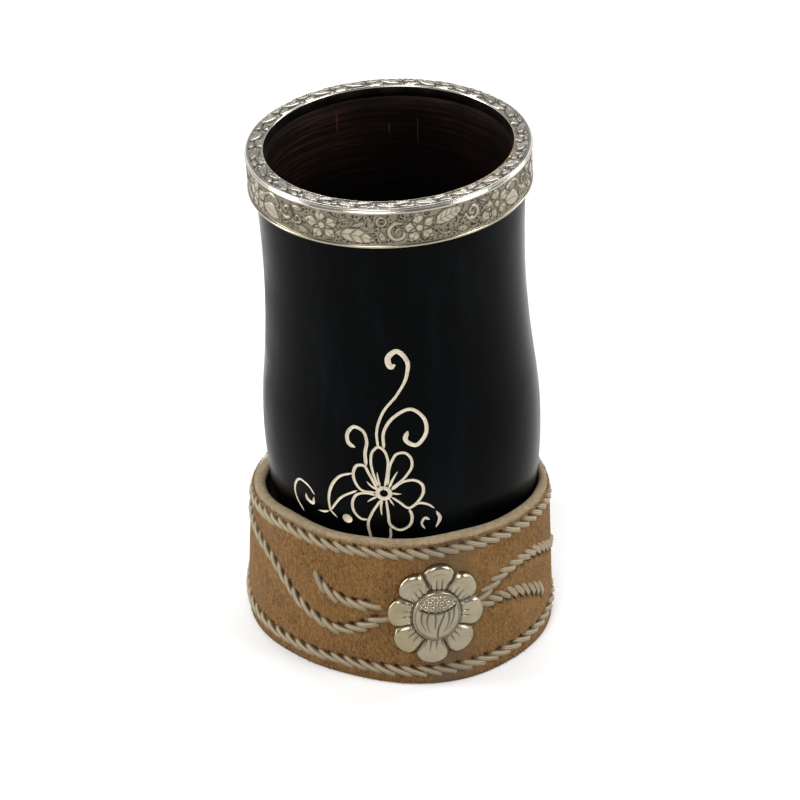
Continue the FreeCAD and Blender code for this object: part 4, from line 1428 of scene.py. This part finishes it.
def concho_relief(x, y, concho):
    """The same for the whole face, with the bud and its half-open eye over the petals."""
    relief, lines, tarnish = petal_relief(x, y, concho)
    a, b = mm(concho.bud_width) / 2, mm(concho.bud_length) / 2
    bx, by = x / a, y / b
    far = np.sqrt(bx**2 + by**2)
    dome = np.sqrt(np.clip(1 - (far / 1.02) ** 2.6, 0, 1))
    budding = smooth(1.06, 0.98, far)
    ledge = bell(far - 1.12, 0.07)
    relief = relief * (1 - budding) + budding * (0.35 + mm(concho.bud_rise) * dome)
    ring = bell(far - 0.90, 0.035)
    gutter = bell(far - 1.035, 0.04)
    relief += 0.18 * ledge - 0.22 * gutter - 0.14 * ring
    lines = np.where(far < 1.0, 0, lines)
    lines = np.maximum(lines, np.maximum(gutter * (0.45 + 0.5 * smooth(0.4, 0.95, np.abs(by))), ring * 0.55))

    lower = 0.21 + 0.26 * np.abs(bx) ** 1.7 + 0.1 * bx
    upper = 0.87 - 0.58 * np.abs(bx) ** 2.6 + 0.03 * bx
    eye = smooth(-0.03, 0.03, by - lower) * smooth(-0.03, 0.03, upper - by) * (np.abs(bx) < 0.78)
    lip = bell(by - lower, 0.045) * smooth(0.82, 0.7, np.abs(bx))
    brow = bell(by - upper, 0.03) * smooth(0.82, 0.7, np.abs(bx))
    relief -= 0.22 * eye + 0.28 * lip + 0.1 * brow
    # The dark along the eye's lower lip is painted shade under the lip
    lines = np.maximum(lines, np.maximum(lip * 0.97, brow * 0.4))
    grain = 1.5
    row = np.round(y / (grain * 0.87))
    column = x / grain - 0.5 * (row % 2)
    gx = column - np.round(column)
    gy = y / (grain * 0.87) - row
    bead = np.hypot(gx * grain, gy * grain * 0.87)
    beads = bell(bead - 0.42, 0.17)
    relief += eye * 0.26 * beads
    lines = np.maximum(lines, eye * (0.65 * bell(bead, 0.17) + 0.4 * (bead > 0.66)))

    below = (by < lower - 0.04) & (far < 0.87)
    for start, bend, stop in BUD_LINES:
        share = np.clip((lower - by) / (lower - stop), 0, 1)
        path = start * (1 - 0.35 * share) + bend * np.sin(np.pi * share)
        cut = bell(bx - path, 0.04 * (1 - share) + 0.012) * below * (by > stop)
        relief -= 0.15 * cut
        lines = np.maximum(lines, cut * 0.75)
    middle = 0.16 + 0.10 * np.sin((by + 0.1) * 3.4)
    cut = bell(bx - middle, 0.035) * below
    relief -= 0.2 * cut
    lines = np.maximum(lines, cut * 0.85)
    return relief, lines, tarnish * (far > 1.05)


def concho_finish(concho):
    """Satin nickel silver with dark lines and yellowish petals."""
    finish = Finish("stamped_nickel_silver")
    line, tarnish = finish.attribute("line"), finish.attribute("tarnish")
    cloud = finish.noise(230, 4, 0.6)
    fine = finish.noise(1300, 3, 0.6)
    metal = concho.metal
    tone = finish.blend(finish.ramp(cloud, 0.35, 0.75), metal, tinted(metal, 0.86, 0.84, 0.8))
    tone = finish.blend(finish.times(tarnish, 0.55), tone, concho.tarnish)
    tone = finish.blend(line, tone, (0.03, 0.024, 0.018))
    rough = finish.plus(finish.ramp(cloud, 0.3, 0.7, 0.2, 0.32), finish.times(line, 0.35))
    return finish.set(
        Base_Color=tone, Metallic=1.0, Roughness=rough, Normal=finish.bump(fine, 0.00005, 0.5)
    )


class MATECUP_OT_concho(bpy.types.Operator):
    """Turn a disc, draw it out into the flower, chase it and bend it round the hide"""

    bl_idname = "matecup.concho"
    bl_label = "Flower concho"

    def execute(self, context):
        concho = context.scene.mate_concho
        hide = context.scene.mate_hide
        rings = 84
        outline = [(0.0, 1.0)] + [(10.0 * r / rings, 1.0) for r in range(1, rings + 1)]
        outline += [(10.0, 0.5), (10.0, 0.0), (9.0, 0.0), (6.0, 0.0), (3.0, 0.0), (0.0, 0.0)]
        piece = lathe("flower_concho_chased", outline, 480)
        points = read_points(piece)
        radius = np.hypot(points[:, 0], points[:, 1]) / 10.0
        angle = np.arctan2(points[:, 0], points[:, 1])
        reach = concho_reach(angle, concho)
        x, y = radius * reach * np.sin(angle), radius * reach * np.cos(angle)
        relief, line, tarnish = concho_relief(x, y, concho)
        front = points[:, 2] > 0.9
        middle = (points[:, 2] > 0.2) & ~front
        rim = np.clip((1 - radius) * reach / 0.45, 0, 1)
        rounding = 0.4 * (1 - np.sqrt(np.clip(1 - (1 - rim) ** 2, 0, 1)))
        sheet = mm(concho.sheet)
        proud = np.where(front, sheet * 0.55 + relief - rounding, np.where(middle, 0.35, 0.1))
        c, s = math.cos(concho.tilt), math.sin(concho.tilt)
        across, up = x * c + y * s, -x * s + y * c
        base = hide_radius(0.0, mm(concho.height) + up, hide) - 0.1
        azimuth = np.degrees(across / mm(hide.foot_radius))
        turn = np.radians(azimuth)
        out = base + proud
        height = mm(concho.height) + up
        write_points(piece, np.stack([out * np.sin(turn), -out * np.cos(turn), height], axis=1))
        face_outward(piece)
        paint(piece, "line", np.clip(line * front, 0, 1))
        paint(piece, "tarnish", tarnish * front)
        give_materials(piece, [concho_finish(concho)])
        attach(piece, "root")
        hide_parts("flower_concho")
        return {"FINISHED"}


# Plug, sole and rivet


class MATECUP_OT_inner_parts(bpy.types.Operator):
    """Trim the sole, and finish it with the plug and the rivet, whose shapes come with the frame"""

    bl_idname = "matecup.inner_parts"
    bl_label = "Plug, sole and rivet"

    def execute(self, context):
        self.trim_sole(context, self.sole_finish())
        for name, material in (("bottom_plug", self.wood_finish()), ("concho_rivet", self.rivet_finish())):
            give_materials(bpy.data.objects[name], [material])
        return {"FINISHED"}

    def wood_finish(self):
        finish = Finish("dark_wood")
        rings = finish.noise(120, 4, 0.6, finish.stretch((1, 0.15, 1)))
        tone = finish.blend(finish.ramp(rings, 0.4, 0.7), (0.03, 0.014, 0.008), (0.075, 0.038, 0.02))
        return finish.set(Base_Color=tone, Roughness=0.7, Normal=finish.bump(rings, 0.0002, 0.6))

    def sole_finish(self):
        finish = Finish("sole_leather")
        blot = finish.ramp(finish.noise(60, 3, 0.5), 0.35, 0.7)
        tone = finish.blend(blot, (0.10, 0.058, 0.03), (0.19, 0.12, 0.07))
        return finish.set(Base_Color=tone, Roughness=0.75, Normal=finish.bump(finish.cells(900), 0.0003, 0.7))

    def rivet_finish(self):
        finish = Finish("rivet_metal")
        scuff = finish.ramp(finish.noise(500, 3, 0.6), 0.3, 0.7, 0.3, 0.5)
        return finish.set(Base_Color=(0.5, 0.45, 0.38, 1.0), Metallic=1.0, Roughness=scuff)

    def trim_sole(self, context, material):
        """Cuts the round sole to the outline that the hide band really has at its foot."""
        hide = context.scene.mate_hide
        thick = mm(context.scene.mate_horn.foot)
        full = 38.0
        outline = [(0, 0), (full - 0.4, 0), (full, 0.4), (full, thick), (full / 2, thick), (0, thick)]
        piece = lathe("leather_sole_trimmed", outline, 360)
        points = read_points(piece)
        azimuth = polar(points)[1]
        edge = hide_radius(azimuth, 3.0, hide) - hide_depth(azimuth, hide)
        points[:, :2] *= (edge / full)[:, None]
        write_points(piece, points)
        give_materials(piece, [material])
        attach(piece, "root")
        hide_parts("leather_sole")


# Stage

WHITE = (1.0, 1.0, 1.0, 1.0)
# Each light as its name, place and size in metres, power in watts and colour
LIGHTS = (
    ("key", (-0.45, -0.8, 1.05), (0.6, 0.6), 8.0, (1.0, 0.985, 0.96)),
    ("fill", (0.95, -0.6, 0.8), (0.5, 0.5), 8.5, (0.97, 0.985, 1.0)),
    ("window", (-1.15, 0.2, 0.45), (0.4, 1.2), 11.5, (1.0, 1.0, 1.0)),
    ("side", (1.15, 0.3, 0.5), (0.35, 1.1), 5.0, (1.0, 1.0, 1.0)),
    ("overhead", (0.1, 0.75, 1.15), (1.0, 0.45), 8.5, (1.0, 1.0, 1.0)),
)


class MATECUP_OT_stage(bpy.types.Operator):
    """Set the cup on a white floor under soft light and place the camera"""

    bl_idname = "matecup.stage"
    bl_label = "Stage"

    def execute(self, context):
        stage = context.scene.mate_stage
        scene = context.scene
        bpy.ops.object.select_all(action="DESELECT")
        bpy.ops.mesh.primitive_grid_add(x_subdivisions=8, y_subdivisions=8, size=6.0, location=(0, 0, 0))
        floor = context.object
        floor.name = "floor"
        give_materials(floor, [self.floor_finish()])
        for light in LIGHTS:
            self.add_light(*light)
        self.set_world(scene)

        azimuth, elevation = stage.azimuth, stage.elevation
        right = Vector((math.cos(azimuth), math.sin(azimuth), 0))
        level = Vector((math.sin(azimuth), -math.cos(azimuth), 0))
        back = level * math.cos(elevation) + Vector((0, 0, math.sin(elevation)))
        up = back.cross(right)
        target = right * -0.00044 + Vector((0, 0, 0.057))
        c, s = math.cos(stage.roll), math.sin(stage.roll)
        across, rise = right * c + up * s, up * c - right * s
        turn = Matrix((across, rise, back)).transposed().to_4x4()
        bpy.ops.object.camera_add()
        camera = context.object
        camera.name = "camera"
        camera.matrix_world = Matrix.Translation(target + back * stage.distance) @ turn
        camera.data.lens = stage.lens
        camera.data.sensor_width = 36.0
        camera.data.clip_start = 0.01
        scene.camera = camera
        scene.view_settings.view_transform = "Standard"
        return {"FINISHED"}

    def add_light(self, name, place, size, power, tint):
        bpy.ops.object.light_add(type="AREA", location=place)
        light = bpy.context.object
        light.name = name
        light.data.shape = "RECTANGLE"
        light.data.size, light.data.size_y = size
        light.data.energy = power
        light.data.color = tint
        aim = Vector((0, 0, 0.06)) - Vector(place)
        light.rotation_euler = aim.to_track_quat("-Z", "Y").to_euler()

    def floor_finish(self):
        """A pale matt floor, which the camera, gloss and glass see fade to white with distance."""
        finish = Finish("floor_white")
        speck = finish.ramp(finish.noise(30, 2, 0.5), 0.3, 0.7)
        far = finish.add("ShaderNodeVectorMath", {0: finish.place}, operation="LENGTH").outputs["Value"]
        return finish.set(
            Base_Color=finish.blend(speck, (0.79, 0.79, 0.79), (0.82, 0.82, 0.82)),
            Roughness=0.9,
            Specular_IOR_Level=0.0,
            Emission_Color=WHITE,
            Emission_Strength=finish.times(finish.seen(), finish.ramp(far, 0.25, 1.3, 0.2, 0.95)),
        )

    def set_world(self, scene):
        """Plain light from all round, which the same rays see as white near the horizon."""
        scene.world = bpy.data.worlds.new("studio")
        scene.world.use_nodes = True
        nodes = Nodes(scene.world.node_tree, "Generated")
        backdrop = nodes.ramp(nodes.axes()["Z"], 0.25, 0.5, 1.0, 0.2, "LINEAR")
        strength = nodes.add("ShaderNodeMix", {"Factor": nodes.seen(), "A": 0.2, "B": backdrop})
        background = nodes.tree.nodes["Background"]
        nodes.feed(background.inputs["Color"], WHITE)
        nodes.feed(background.inputs["Strength"], strength.outputs["Result"])


# Panel and registration


class MATECUP_PT_panel(bpy.types.Panel):
    """Lists what the add-on makes, with its settings"""

    bl_idname = "MATECUP_PT_panel"
    bl_label = "Mate Cup"
    bl_space_type = "VIEW_3D"
    bl_region_type = "UI"
    bl_category = "Mate Cup"

    def draw(self, context):
        scene = context.scene
        for operator in OPERATORS:
            self.layout.operator(operator.bl_idname, text=operator.bl_label)
        for settings in (scene.mate_horn, scene.mate_rim, scene.mate_hide, scene.mate_lace, scene.mate_concho,
                         scene.mate_stage):
            box = self.layout.box()
            for name in settings.bl_rna.properties.keys():
                if name not in ("rna_type", "name"):
                    box.prop(settings, name)


SETTINGS = {
    "mate_horn": HornSettings,
    "mate_rim": RimSettings,
    "mate_hide": HideSettings,
    "mate_lace": LaceSettings,
    "mate_concho": ConchoSettings,
    "mate_stage": StageSettings,
}
OPERATORS = (
    MATECUP_OT_horn,
    MATECUP_OT_rim,
    MATECUP_OT_hide,
    MATECUP_OT_hair,
    MATECUP_OT_laces,
    MATECUP_OT_concho,
    MATECUP_OT_inner_parts,
    MATECUP_OT_stage,
)


def register():
    for settings in SETTINGS.values():
        bpy.utils.register_class(settings)
    for name, settings in SETTINGS.items():
        setattr(bpy.types.Scene, name, bpy.props.PointerProperty(type=settings))
    for operator in OPERATORS:
        bpy.utils.register_class(operator)
    bpy.utils.register_class(MATECUP_PT_panel)


def unregister():
    bpy.utils.unregister_class(MATECUP_PT_panel)
    for operator in reversed(OPERATORS):
        bpy.utils.unregister_class(operator)
    for name in SETTINGS:
        delattr(bpy.types.Scene, name)
    for settings in reversed(list(SETTINGS.values())):
        bpy.utils.unregister_class(settings)


def main():
    register()
    bpy.ops.matecup.horn()
    bpy.ops.matecup.rim()
    bpy.ops.matecup.hide()
    bpy.ops.matecup.hair()
    bpy.ops.matecup.laces()
    bpy.ops.matecup.concho()
    bpy.ops.matecup.inner_parts()
    bpy.ops.matecup.stage()


if __name__ == "__main__":
    main()
